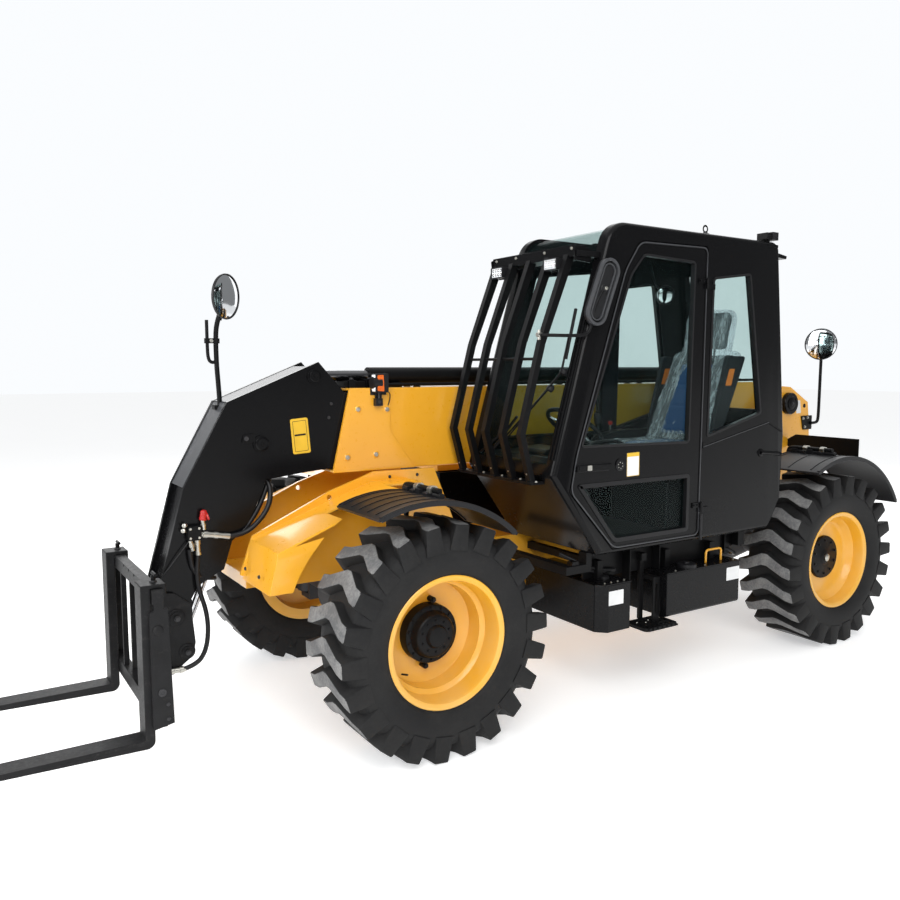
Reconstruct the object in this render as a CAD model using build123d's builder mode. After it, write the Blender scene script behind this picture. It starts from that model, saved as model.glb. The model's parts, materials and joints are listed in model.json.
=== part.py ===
"""Telehandler: side cab, centre boom with gooseneck head and pallet forks, four steered wheels.

Drawn with +X forward, +Y to the left and +Z up. Profiles are laid out about the middle of the
wheelbase at ground level, and every piece is stored about the middle of the overall length.
"""
from build123d import *
import math
import os

os.makedirs("parts", exist_ok=True)

# ---- driving dimensions, mm ----
wheelbase = 3200
track = 1740
tyreRadius = 587.5
tyreWidth = 410
rimRadius = 333
rimWidth = 350
kingpinOffset = 220
moveGap = 5
fitGap = 0.1
softGap = 0.3

forkLength = 1200
forkWidth = 125
forkThick = 45
forkSpread = 410
forkReach = 188
forkHeelZ = 150
forkTopZ = 925
carriageHalf = 500

boomHalf = 155
boomWall = 14
boomBottom = 1335
boomTop = 1800
innerWall = 12
slideGap = 8
reach = 2600
headHalf = 133
headPlate = 25
boomPivot = (-2118, 1628)
hitchPin = (2667, 660)
tiltRodPin = (2618, 477)
tiltBasePin = (2192, 1515)
extensionPin = (1887, 1868)
liftBasePin = (-1550, 930)
liftRodPin = (450, 1200)

framePlate = 20
frameHalf = 230
noseHalf = 620
sheet = 10
casingRadius = 165
axleGap = 7.5
frameLowZ = 470
tailX = -2420
towReach = 110
towBore = 20

cabBottom = 880
cabRight = 195
cabLeft = 1000
cabWall = 45
doorThick = 40
glassThick = 6

# ---- places worked out from them ----
axleX = wheelbase / 2
wheelY = track / 2
kingpinY = wheelY - kingpinOffset
tyreHalf = tyreWidth / 2
archRadius = tyreRadius + 82
frameUnderZ = tyreRadius + casingRadius + axleGap
forkFaceX = hitchPin[0] + forkReach
forkTipX = forkFaceX + forkThick + forkLength
middleX = (forkTipX + tailX - towReach) / 2


def save(part, name):
    """Store one piece about the middle of the machine's overall length."""
    placed = part.moved(Location((-middleX, 0, 0)))
    placed.label = name
    export_step(placed, f"parts/{name}.step")


def outline(points, radii=0):
    """A closed line through points, with its corners rounded where radii are given."""
    if radii:
        FilletPolyline(*points, radius=radii, close=True)
    else:
        Polyline(*points, close=True)


def slab(points, y, width, mode=Mode.ADD, radii=0):
    """A side outline (x, z) given a width across the machine, centred on y."""
    with BuildSketch(Plane.XZ.offset(-y), mode=Mode.PRIVATE) as shape:
        with BuildLine():
            outline(points, radii)
        make_face()
    extrude(shape.sketch, amount=width / 2, both=True, mode=mode)


def block(low, high, mode=Mode.ADD):
    """A box from its lowest to its highest corner."""
    centre = [(a + b) / 2 for a, b in zip(low, high)]
    with Locations(tuple(centre)):
        Box(*[b - a for a, b in zip(low, high)], mode=mode)


def crossBar(x, z, radius, y0, y1, mode=Mode.ADD):
    """A round bar across the machine."""
    with BuildSketch(Plane.XZ.offset(-y0), mode=Mode.PRIVATE) as disc:
        with Locations((x, z)):
            Circle(radius)
    extrude(disc.sketch, amount=-(y1 - y0), mode=mode)


def rod(start, end, radius, mode=Mode.ADD):
    """A round bar between two points."""
    start, end = Vector(*start), Vector(*end)
    with BuildSketch(Plane(origin=start, z_dir=end - start), mode=Mode.PRIVATE) as disc:
        Circle(radius)
    extrude(disc.sketch, amount=(end - start).length, mode=mode)


def tube(points, radius):
    """A round tube along straight runs with mitred corners."""
    with BuildLine(mode=Mode.PRIVATE) as route:
        Polyline(*points)
    path = route.wire()
    with BuildSketch(Plane(origin=path @ 0, z_dir=path % 0), mode=Mode.PRIVATE) as disc:
        Circle(radius)
    sweep(disc.sketch, path=path, transition=Transition.RIGHT)


def between(a, b, t):
    """The point a share t of the way from a to b."""
    return tuple(p + (q - p) * t for p, q in zip(a, b))


def sides(a, b):
    """The y range from a to b on the left and its mirror image on the right."""
    return (a, b), (-b, -a)


# ---- tyres: one pitch of carcass and chevron lug, repeated round the axle ----
beadRadius = 305
rimSkin = 12
beadHalf = rimWidth / 2 - rimSkin
lugRows = 22
lugHalf = 41
lugSweep = 34
lugDepth = 46
shoulderHalf = tyreHalf - 50
pitch = 360 / lugRows
lugTop = math.sqrt(tyreRadius ** 2 - (lugSweep + lugHalf) ** 2)
crownRadius = lugTop - lugDepth
lugFoot = crownRadius - 66
wedgeHalf = tyreRadius * math.tan(math.radians(pitch / 2))
with BuildPart() as lug:
    with BuildSketch(Plane.YZ):
        with BuildLine():
            outline([(-tyreHalf + 14, lugFoot), (-tyreHalf, lugFoot + 55), (-tyreHalf, lugTop),
                     (tyreHalf, lugTop), (tyreHalf, lugFoot + 55), (tyreHalf - 14, lugFoot)])
        make_face()
    extrude(amount=lugSweep + lugHalf, both=True)
    with BuildSketch(Plane.XY):
        with BuildLine():
            outline([(lugSweep - lugHalf, -tyreHalf), (lugSweep + lugHalf, -tyreHalf),
                     (lugHalf - lugSweep, 0), (lugSweep + lugHalf, tyreHalf),
                     (lugSweep - lugHalf, tyreHalf), (-lugSweep - lugHalf, 0)])
        make_face()
    extrude(amount=tyreRadius, mode=Mode.INTERSECT)
with BuildPart() as tyrePitch:
    with BuildSketch(Plane.YZ):
        with BuildLine():
            outline([(-beadHalf, beadRadius - 20), (-beadHalf, rimRadius + 12), (-tyreHalf + 8, 440),
                     (-shoulderHalf, crownRadius), (shoulderHalf, crownRadius), (tyreHalf - 8, 440),
                     (beadHalf, rimRadius + 12), (beadHalf, beadRadius - 20)])
        make_face()
    extrude(amount=wedgeHalf, both=True)
    add(lug.part)
    with BuildSketch(Plane.XZ):
        with BuildLine():
            outline([(0, 0), (wedgeHalf, tyreRadius), (-wedgeHalf, tyreRadius)])
        make_face()
    extrude(amount=tyreWidth, both=True, mode=Mode.INTERSECT)
# turned so that a lug's corner points straight down
lugTurn = math.degrees(math.atan((lugSweep + lugHalf) / lugTop))
with BuildPart() as tyre:
    add([tyrePitch.part.rotate(Axis.Y, i * pitch + lugTurn) for i in range(lugRows)])
    with BuildSketch(Plane.XZ):
        Circle(beadRadius + fitGap)
    extrude(amount=tyreWidth, both=True, mode=Mode.SUBTRACT)

# ---- rims: a dished well, a disc and a hub, turned about the axle with the outboard side at +Y ----
hubBore = 45
hubInner = -120
drumRadius = 150
discThick = 18
wellRadius = beadRadius - 22
rimHalf = rimWidth / 2
# end of the machine, and from the wheel's middle: the disc, the hub's drum, and its cap and radius
wheelForms = [
    ("front", -50, 40, 78, 100),
    ("rear", 45, 68, 90, 34),
]
rims = {}
for end, discFace, drumFace, capFace, capRadius in wheelForms:
    with BuildPart() as rim:
        with BuildSketch(Plane.YZ):
            with BuildLine():
                outline([(-rimHalf, rimRadius), (-beadHalf, rimRadius), (-beadHalf, beadRadius),
                         (beadHalf, beadRadius), (beadHalf, rimRadius), (rimHalf, rimRadius),
                         (rimHalf, beadRadius - rimSkin), (60, wellRadius - rimSkin),
                         (-rimHalf, wellRadius - rimSkin)])
            make_face()
            with BuildLine():
                outline([(discFace - discThick, drumRadius - 5), (discFace, drumRadius - 5),
                         (discFace, wellRadius), (discFace - discThick, wellRadius)])
            make_face()
            with BuildLine():
                outline([(hubInner, hubBore), (hubInner, drumRadius), (drumFace, drumRadius),
                         (drumFace, capRadius), (capFace, capRadius - 8), (capFace, 0),
                         (hubInner + 90, 0), (hubInner + 90, hubBore)])
            make_face()
        revolve(axis=Axis.Y)
        if end == "front":
            for i in (0, 1):
                a = math.radians(90 + 180 * i - 12)
                rod((140 * math.cos(a), drumFace - 60, 140 * math.sin(a)),
                    (140 * math.cos(a), drumFace + 12, 140 * math.sin(a)), 26)
    rims[end] = rim

# corner, end of the machine, fore or aft, side
corners = [
    ("front_left", "front", 1, 1),
    ("front_right", "front", 1, -1),
    ("rear_left", "rear", -1, 1),
    ("rear_right", "rear", -1, -1),
]
for name, end, fore, side in corners:
    place = Location((fore * axleX, side * wheelY, tyreRadius))
    for kind, piece in (("tyre", tyre.part), ("rim", rims[end].part)):
        handed = piece if side > 0 else piece.mirror(Plane.XZ)
        save(handed.moved(place), f"{kind}_{name}")

# ---- axles: a beam with a centre casing and an open yoke for each knuckle ----
beamRadius = 75
yokeHalf = 155
yokeThick = 32
yokeWide = 60
kingpinRadius = 30
knuckleRadius = 85
postHalf = yokeHalf - yokeThick - moveGap
yokeWebOut = kingpinY - knuckleRadius - 15
yokeWebIn = yokeWebOut - 28
steerRam = 32
steerX = 130
for end, fore in (("front", 1), ("rear", -1)):
    x = fore * axleX
    with BuildPart() as axle:
        with BuildSketch(Plane.YZ.offset(x)):
            with BuildLine():
                outline([(-yokeWebIn, tyreRadius), (-yokeWebIn, tyreRadius + beamRadius),
                         (-300, tyreRadius + beamRadius), (-150, tyreRadius + casingRadius),
                         (150, tyreRadius + casingRadius), (300, tyreRadius + beamRadius),
                         (yokeWebIn, tyreRadius + beamRadius), (yokeWebIn, tyreRadius)])
            make_face()
        revolve(axis=Axis((x, 0, tyreRadius), (0, 1, 0)))
        for side in (1, -1):
            webs = sorted((side * yokeWebIn, side * yokeWebOut))
            block((x - yokeWide, webs[0], tyreRadius - yokeHalf), (x + yokeWide, webs[1], tyreRadius + yokeHalf))
            ears = sorted((side * (yokeWebIn + 1), side * kingpinY))
            for z in (tyreRadius - yokeHalf, tyreRadius + yokeHalf - yokeThick):
                block((x - yokeWide, ears[0], z), (x + yokeWide, ears[1], z + yokeThick))
                rod((x, side * kingpinY, z), (x, side * kingpinY, z + yokeThick), yokeWide)
                rod((x, side * kingpinY, z), (x, side * kingpinY, z + yokeThick), kingpinRadius + fitGap,
                    mode=Mode.SUBTRACT)
            pads = sorted((side * (frameHalf - 70), side * (frameHalf + 40)))
            block((x - 110, pads[0], tyreRadius), (x + 110, pads[1], frameUnderZ))
        crossBar(x - fore * steerX, tyreRadius, steerRam, -240, 240)
        crossBar(x - fore * steerX, tyreRadius, steerRam / 2, -330, 330)
        block((x - 130, -45, tyreRadius - 40), (x + 130, 45, tyreRadius + 40))
    save(axle.part, f"{end}_axle")

spindleEnd = wheelY + hubInner + 85
guardThick = 14
guardRim = 706
# end of the machine, the guard's centre ahead of the axle and above its middle, and its first and last angle
guardForms = {"front": (118, -12, 67, 134), "rear": (0, 0, 62, 150)}
guardIn, guardOut = kingpinY - 10, wheelY + tyreHalf + 10
stayY = kingpinY - 21
stayRadius = 16
for name, end, fore, side in corners:
    x = fore * axleX
    y = side * kingpinY
    with BuildPart() as knuckle:
        rod((x, y, tyreRadius - postHalf), (x, y, tyreRadius + postHalf), knuckleRadius)
        rod((x, y, tyreRadius - yokeHalf - 12), (x, y, tyreRadius + yokeHalf + 12), kingpinRadius)
        rod((x, y, tyreRadius), (x, side * (wheelY + hubInner - moveGap), tyreRadius), 78)
        rod((x, y, tyreRadius), (x, side * spindleEnd, tyreRadius), hubBore - fitGap)
    save(knuckle.part, f"knuckle_{name}")

    ahead, above, first, last = guardForms[end]
    centre = (x + ahead, tyreRadius + above)
    low, high = sorted((side * guardIn, side * guardOut))
    with BuildPart() as mudguard:
        with BuildSketch(Plane.XZ.offset(-low), mode=Mode.PRIVATE) as arc:
            with Locations(centre):
                Circle(guardRim + guardThick)
                Circle(guardRim, mode=Mode.SUBTRACT)
            reachOut = 2 * guardRim
            with BuildLine():
                outline([centre] + [(centre[0] + reachOut * math.cos(math.radians(a)),
                        centre[1] + reachOut * math.sin(math.radians(a))) for a in (first, last)])
            make_face(mode=Mode.INTERSECT)
        extrude(arc.sketch, amount=-(high - low))
        crown = centre[1] + math.sqrt((guardRim + guardThick) ** 2 - ahead ** 2)
        rod((x, side * stayY, tyreRadius + yokeHalf + 12), (x, side * stayY, crown + stayRadius / 2),
            stayRadius - 2)
        crossBar(x, crown + stayRadius / 2, stayRadius, *sorted((side * (stayY - 18), side * (wheelY + 110))))
        for out in (30, 150):
            clamp = side * (kingpinY + out)
            block((x - 34, clamp - 22, crown - 6), (x + 34, clamp + 22, crown + stayRadius + 12))
    save(mudguard.part, f"mudguard_{name}")

# ---- chassis: side plates with folded wings over the front wheels and a rear tower ----
plateUnder = cabBottom - 10
plateOutline = [
    (2355, 850), (2285, 1048), (1852, 1245), (1577, 1335), (1184, 1330), (990, plateUnder), (-1080, plateUnder),
    (-1380, 1250), (-1700, 1540), (-1880, 1720), (-2045, 1765), (-2145, 1758), (-2378, 1632), (-2399, 1500),
    (tailX, 1250), (tailX, frameUnderZ), (-1260, frameUnderZ), (-1050, frameLowZ), (1000, frameLowZ),
    (1240, frameUnderZ), (2100, frameUnderZ),
]
wingOutline = [(2345, 830), (2296, 1030), (1900, 1178), (1600, 1282), (1360, 1282), (1360, 1180), (1600, 1180),
               (1600, 830)]
wingInside = [(2345 - sheet, 700), (2345 - sheet, 832), (2296 - sheet, 1023), (1900 - 4, 1178 - sheet),
              (1600, 1282 - sheet), (1360 + sheet, 1282 - sheet), (1360 + sheet, 700)]
plateY = frameHalf - framePlate / 2
innerHalf = frameHalf - framePlate
wingMid = (frameHalf + noseHalf) / 2
arch0 = 395
with BuildPart() as frameSides:
    slab(plateOutline, plateY, framePlate)
    slab(wingOutline, wingMid, noseHalf - frameHalf)
    slab(wingInside, wingMid - sheet / 2, noseHalf - frameHalf - sheet, mode=Mode.SUBTRACT)
    slab(plateOutline, plateY, framePlate)
    crossBar(axleX, tyreRadius, archRadius, arch0, noseHalf + 60, mode=Mode.SUBTRACT)
    block((1300, arch0, 800), (axleX, noseHalf + 60, 1400), mode=Mode.SUBTRACT)
    crease = Plane(origin=(2263, noseHalf, 1008), x_dir=(-1, 0, -0.034), z_dir=(0.05, 0.96, 0.27))
    with BuildSketch(crease):
        Rectangle(1600, 1600)
    extrude(amount=300, mode=Mode.SUBTRACT)
    crossBar(1852, 1213, 14, frameHalf - 40, frameHalf + 1, mode=Mode.SUBTRACT)
    crossBar(*boomPivot, 82, frameHalf - 1, frameHalf + 30)
    crossBar(*boomPivot, 90, boomHalf + moveGap, frameHalf - 1)
    crossBar(*liftBasePin, 60, 60, frameHalf - 1)
    for pin, radius in ((boomPivot, 45), (liftBasePin, 34)):
        crossBar(*pin, radius + fitGap, 0, frameHalf - framePlate, mode=Mode.SUBTRACT)
    mirror(about=Plane.XZ)
save(frameSides.part, "frame_sides")

# lowest and highest (x, z) of each member between the side plates
crossMembers = [
    ((2150, frameUnderZ + 10), (2320, frameUnderZ + 80)), ((1240, frameUnderZ), (1800, frameUnderZ + 25)),
    ((-1000, frameLowZ), (900, frameLowZ + 20)), ((-2200, frameUnderZ), (-1300, frameUnderZ + 25)),
    ((tailX, frameUnderZ), (tailX + 25, 1240)),
]
with BuildPart() as frameCross:
    for (xa, za), (xb, zb) in crossMembers:
        block((xa, -innerHalf, za), (xb, innerHalf, zb))
    crossBar(*boomPivot, 45, -innerHalf, innerHalf)
    crossBar(*liftBasePin, 34, -innerHalf, innerHalf)
save(frameCross.part, "frame_crossmembers")

tailBottom = 560
jawHalf = 60
jawPlate = 22
jawX = tailX - towReach + 45
with BuildPart() as tail:
    block((tailX, -420, tailBottom), (-2215, 420, frameUnderZ))
    chamfer(tail.edges().filter_by(Axis.Z).sort_by(Axis.X)[:2], length=60)
    for z in (tailBottom + 20, tailBottom + 120):
        block((tailX - towReach, -jawHalf, z), (tailX, jawHalf, z + jawPlate))
        rod((jawX, 0, z - 1), (jawX, 0, z + jawPlate + 1), towBore, mode=Mode.SUBTRACT)
save(tail.part, "tail_weight")

# ---- engine, pod and hood on the right ----
podInner = -frameHalf
podOuter = -985
podFront, podRear = 860, -865
podBottom, podTop = 560, 1230
podSheet = 12
louvres = 7
hingeRadius, hingePin = 11, 5
hoodHinge = (podInner - hingeRadius, podTop + 22)
hingeX = (-600, 560)
with BuildPart() as engine:
    block((-430, podInner - 560, podBottom + 80), (420, podInner - 90, podTop - 110))
save(engine.part, "engine_block")
with BuildPart() as pod:
    block((podRear, podOuter, podBottom), (podFront, podInner, podTop))
    block((podRear + podSheet, podOuter + podSheet, podBottom + podSheet),
          (podFront - podSheet, podInner - podSheet, podTop), mode=Mode.SUBTRACT)
    for i in range(louvres):
        low = podBottom + 130 + 60 * i
        block((-650, podOuter - 1, low), (-150, podOuter + podSheet + 1, low + 30), mode=Mode.SUBTRACT)
    for x in (-400, 340):
        block((x, podInner - 520, podBottom + 1), (x + 40, podInner - 130, podBottom + 80))
    for x in hingeX:
        rod((x - 30, *hoodHinge), (x, *hoodHinge), hingeRadius)
        rod((x - 30, *hoodHinge), (x + 38, *hoodHinge), hingePin)
        block((x - 30, podInner - podSheet, podTop - 40), (x, podInner, hoodHinge[1]))
save(pod.part, "engine_pod")
hoodInner = podInner - 2 * hingeRadius - 8
with BuildPart() as hood:
    with BuildSketch(Plane.YZ.offset(podRear)):
        with BuildLine():
            outline([(hoodInner, podTop + moveGap), (hoodInner, podTop + 45), (podInner - 110, podTop + 80),
                     (podOuter + 110, podTop + 60), (podOuter, podTop + moveGap)])
        make_face()
    extrude(amount=podFront - podRear)
    for x in hingeX:
        rod((x + softGap, *hoodHinge), (x + 30, *hoodHinge), hingeRadius)
        block((x + softGap, hoodInner - 4, hoodHinge[1] - 6), (x + 30, hoodHinge[0], hoodHinge[1] + 6))
        rod((x - 1, *hoodHinge), (x + 40, *hoodHinge), hingePin + softGap, mode=Mode.SUBTRACT)
save(hood.part, "engine_hood")

# ---- boxes, step and mounts under the cab ----
boxTop = 703
mountZ = 770
stepRows, stepHoles = 3, 6
with BuildPart() as tank:
    block((-600, frameHalf + 60, 440), (50, cabLeft, boxTop))
    fillet(tank.edges().filter_by(Axis.X).sort_by(Axis.Z)[:2], radius=22)
save(tank.part, "fuel_tank")
with BuildPart() as battery:
    block((346, frameHalf + 90, 430), (572, cabLeft, boxTop))
    chamfer(battery.edges().filter_by(Axis.Z).sort_by(Axis.X)[-1:], length=55)
save(battery.part, "battery_box")
with BuildPart() as stepTread:
    block((-25, cabLeft - 150, 392), (240, cabLeft + 30, 412))
    fillet(stepTread.edges().filter_by(Axis.Z).sort_by(Axis.Y)[-2:], radius=30)
    with Locations((107, cabLeft - 55, 392)):
        with GridLocations(40, 50, stepHoles, stepRows):
            Box(20, 26, 60, mode=Mode.SUBTRACT)
    block((100, cabLeft - 160, 412), (130, cabLeft - 140, mountZ))
    block((60, cabLeft - 60, 412), (112, cabLeft - 48, boxTop - 20))
    block((78, cabLeft - 70, 470), (94, cabLeft - 40, boxTop - 60), mode=Mode.SUBTRACT)
    block((60, cabLeft - 150, boxTop - 40), (112, cabLeft - 48, boxTop - 20))
save(stepTread.part, "cab_step")
with BuildPart() as cabMounts:
    block((690, frameHalf, mountZ), (745, cabLeft - 95, 815))
    block((560, cabLeft - 160, mountZ), (745, cabLeft - 95, 815))
    block((560, cabLeft - 160, 814), (600, cabLeft - 95, cabBottom))
    block((-760, frameHalf, mountZ), (-700, cabLeft - 95, cabBottom))
    block((-701, cabLeft - 176, boxTop + 2), (561, cabLeft - 164, cabBottom))
    for x, low in ((-500, boxTop), (-100, boxTop), (100, mountZ), (450, boxTop)):
        block((x, cabLeft - 160, low), (x + 40, cabLeft - 120, 815))
        block((x, frameHalf, mountZ), (x + 40, cabLeft - 120, 815))
save(cabMounts.part, "cab_mounts")

# ---- cab ----
cabFloor = cabBottom + cabWall
cabMid = (cabRight + cabLeft) / 2
cabWidth = cabLeft - cabRight
sillX, noseX, browX = 592, 930, 590
noseZ, roofZ = 1340, 2697
browZ = roofZ - 162
cabOutline = [(sillX, cabBottom), (noseX, noseZ), (browX, browZ), (535, roofZ), (-880, roofZ - 6),
              (-1005, 1480), (-990, 1060), (-880, cabBottom)]
cabRound = [20, 30, 60, 150, 60, 60, 60, 60]
cabInner = [(sillX - 22, cabFloor), (noseX - 52, noseZ + 3), (browX - 44, browZ - 12), (490, roofZ - 45),
            (-835, roofZ - 51), (-958, 1480), (-945, 1075), (-850, cabFloor)]
doorOutline = [(497, 905), (817, 1250), (779, 1446), (446, roofZ - 252), (338, roofZ - 89), (-222, roofZ - 81),
               (-208, 905)]
doorRound = [20, 30, 60, 60, 90, 20, 20]
upperPane = [(742, 1486), (-105, 1470), (-119, roofZ - 173), (300, roofZ - 157), (400, roofZ - 272)]
lowerPane = [(766, 1290), (-115, 1290), (-113, 945), (490, 945)]
rearPane = [(-252, 1494), (-269, roofZ - 255), (-612, roofZ - 211), (-759, 1622)]
farPane = [(720, 1480), (440, roofZ - 217), (-120, roofZ - 157), (-120, 1480)]
rearWindow = [1640, roofZ - 157]
paneRound = 25
doorGap = 6
doorHinge = (-212, cabLeft + 12)
hingeZ = (1080, roofZ - 297)


def shrink(points, gap):
    """A convex outline moved in by a gap on every side."""
    midX = sum(p[0] for p in points) / len(points)
    midZ = sum(p[1] for p in points) / len(points)
    lines = []
    for (xa, za), (xb, zb) in zip(points, points[1:] + points[:1]):
        run = math.hypot(xb - xa, zb - za)
        nx, nz = (zb - za) / run, (xa - xb) / run
        if nx * (midX - xa) + nz * (midZ - za) < 0:
            nx, nz = -nx, -nz
        lines.append((nx, nz, nx * xa + nz * za + gap))
    moved = []
    for (ax, az, ac), (bx, bz, bc) in zip(lines[-1:] + lines[:-1], lines):
        cross = ax * bz - az * bx
        moved.append(((ac * bz - az * bc) / cross, (ax * bc - ac * bx) / cross))
    return moved


def noseFace(z):
    """Where the cab's lower front stands at a height."""
    return sillX + (z - cabBottom) * (noseX - sillX) / (noseZ - cabBottom)


def screenFace(z):
    """Where the windscreen's outer face stands at a height."""
    return noseX - (z - noseZ) * (noseX - browX) / (browZ - noseZ)


screenLow = 1400
roofGlassRear = -100
with BuildPart() as cab:
    slab(cabOutline, cabMid, cabWidth, radii=cabRound)
    roofEdges = cab.faces().filter_by(Axis.Y).edges().filter_by(lambda e: e.center().Z > 1500)
    fillet(roofEdges.filter_by(lambda e: e.center().X > -950), radius=30)
    slab(cabInner, cabMid, cabWidth - 2 * cabWall, mode=Mode.SUBTRACT)
    slab(doorOutline, cabLeft, 3 * cabWall, mode=Mode.SUBTRACT, radii=doorRound)
    slab(rearPane, cabLeft, 3 * cabWall, mode=Mode.SUBTRACT, radii=paneRound)
    slab(rearPane, cabRight, 3 * cabWall, mode=Mode.SUBTRACT, radii=paneRound)
    slab(farPane, cabRight, 3 * cabWall, mode=Mode.SUBTRACT, radii=paneRound)
    slab([(screenFace(screenLow) + 60, screenLow), (browX + 90, roofZ + 30), (roofGlassRear, roofZ + 30),
          (roofGlassRear, roofZ - 90), (browX - 130, roofZ - 90), (screenFace(screenLow) - 90, screenLow)],
         cabMid, cabWidth - 150, mode=Mode.SUBTRACT)
    block((-1100, cabRight + 75, rearWindow[0]), (-800, cabLeft - 75, rearWindow[1]), mode=Mode.SUBTRACT)
    for z in hingeZ:
        rod((*doorHinge, z - 30), (*doorHinge, z), hingeRadius)
        rod((*doorHinge, z - 30), (*doorHinge, z + 38), hingePin)
        block((doorHinge[0] - 70, cabLeft - 1, z - 30), (doorHinge[0] - 16, cabLeft + 8, z))
        block((doorHinge[0] - 70, cabLeft + softGap, z - 30), (doorHinge[0], cabLeft + 8, z))
    block((-60, cabRight + 30, roofZ - 3), (-20, cabRight + 60, roofZ + 12))
save(cab.part, "cab_shell")

with BuildPart() as glazing:
    inset = cabWidth - 150 - 2 * softGap
    # one bent pane from the foot of the windscreen over the brow to the middle of the roof
    for depth, over, mode in ((20, 0, Mode.ADD), (20 + glassThick, 5, Mode.SUBTRACT)):
        low, rear = screenLow + softGap - over, roofGlassRear + softGap - over
        slab([(screenFace(low) - depth, low), (browX - depth, browZ), (535 - depth, roofZ - depth),
              (rear, roofZ - depth), (rear, low)], cabMid, inset, mode=mode,
             radii=[1, 60 - depth / 2, 140 - depth / 2, 1, 1])
    slab(shrink(rearPane, softGap), cabLeft - 20, glassThick, radii=paneRound)
    slab(shrink(rearPane, softGap), cabRight + 20, glassThick, radii=paneRound)
    slab(shrink(farPane, softGap), cabRight + 20, glassThick, radii=paneRound)
    slab([(-973, rearWindow[0] + softGap), (-905, rearWindow[1] - softGap), (-899, rearWindow[1] - softGap),
          (-967, rearWindow[0] + softGap)], cabMid, inset)
save(glazing.part, "cab_glazing")

doorY = cabLeft - doorThick / 2
with BuildPart() as door:
    slab(shrink(doorOutline, doorGap), doorY, doorThick, radii=doorRound)
    slab(upperPane, doorY, 2 * doorThick, mode=Mode.SUBTRACT, radii=paneRound)
    slab(lowerPane, doorY, 2 * doorThick, mode=Mode.SUBTRACT, radii=paneRound)
    for z in hingeZ:
        rod((*doorHinge, z + softGap), (*doorHinge, z + 30), hingeRadius)
        block((doorHinge[0], cabLeft + softGap, z + softGap), (doorHinge[0] + 70, cabLeft + 8, z + 30))
        block((doorHinge[0] + 20, cabLeft - 1, z + softGap), (doorHinge[0] + 70, cabLeft + 8, z + 30))
        rod((*doorHinge, z - 1), (*doorHinge, z + 40), hingePin + softGap, mode=Mode.SUBTRACT)
    block((520, cabLeft - 1, 1360), (775, cabLeft + 18, 1392))
    crossBar(455, 1385, 28, cabLeft - 1, cabLeft + 6)
save(door.part, "door_frame")
with BuildPart() as doorGlass:
    slab(shrink(upperPane, softGap), doorY, glassThick, radii=paneRound)
    slab(shrink(lowerPane, softGap), doorY, glassThick, radii=paneRound)
save(doorGlass.part, "door_glass")

# ---- windscreen guard: bent flat bars hung from a brow rail and standing on a nose shelf ----
guardBars = 5
guardLeft, guardRight = cabLeft - 130, cabRight + 25
guardPitch = (guardLeft - guardRight) / (guardBars - 1)
railLow, railHigh = roofZ - 197, roofZ - 167
shelfLow, shelfHigh = 1290, 1305
barOutline = [(700, railHigh - 15), (745, railHigh), (930, 2050), (1060, 1560), (985, shelfLow + 1), (950, shelfLow + 1),
              (1025, 1560), (897, 2040)]
with BuildPart() as guard:
    for i in range(guardBars):
        slab(barOutline, guardRight + guardPitch * i, 36)
    block((screenFace(railHigh) + 30, guardRight - 18, railLow), (745, cabLeft - 38, railHigh))
    for y in (guardRight, cabLeft - 56):
        slab([(screenFace(railLow), railLow), (680, railLow), (680, railHigh), (screenFace(railHigh), railHigh)],
             y, 36)
    slab([(noseFace(shelfLow), shelfLow), (985, shelfLow), (985, shelfHigh), (noseFace(shelfHigh), shelfHigh)],
         (guardLeft + guardRight) / 2, guardLeft - guardRight + 36)
    crossBar(935, 1960, 8, guardRight, guardLeft)
save(guard.part, "windscreen_guard")

# ---- cab inside ----
seatX = -330
seatTop = 1330
cushionTop = 1450
wheelSeat = (555, 600, 1407)
wheelHub = (440, 600, 1560)
with BuildPart() as seatBase:
    block((seatX - 230, 360, cabFloor), (seatX + 230, 840, seatTop))
save(seatBase.part, "seat_base")
with BuildPart() as seat:
    block((seatX - 240, 350, seatTop + softGap), (seatX + 270, 850, cushionTop))
    slab([(seatX - 70, cushionTop), (seatX - 310, cushionTop + 510), (seatX - 335, cushionTop + 560),
          (seatX - 415, cushionTop + 560), (seatX - 440, cushionTop + 510), (seatX - 230, cushionTop)], 600, 480)
    slab([(seatX - 325, cushionTop + 555), (seatX - 365, cushionTop + 800), (seatX - 390, cushionTop + 840),
          (seatX - 450, cushionTop + 840), (seatX - 470, cushionTop + 800), (seatX - 420, cushionTop + 555)], 600, 320)
save(seat.part, "seat_cushions")
with BuildPart() as dash:
    slab([(555, cabFloor), (845, 1345), (800, 1420), (520, 1420), (500, 1300), (640, 1250), (480, cabFloor)],
         cabMid, cabWidth - 2 * cabWall - 20)
    rod(between(wheelSeat, wheelHub, -0.2), wheelHub, 30 + softGap, mode=Mode.SUBTRACT)
save(dash.part, "dashboard")
with BuildPart() as steering:
    rod(wheelSeat, wheelHub, 30)
    with BuildSketch(Plane(origin=wheelHub, z_dir=Vector(*wheelHub) - Vector(*wheelSeat))):
        Circle(190)
        Circle(162, mode=Mode.SUBTRACT)
        Rectangle(334, 30)
        Circle(45)
    extrude(amount=24)
save(steering.part, "steering_wheel")

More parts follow.
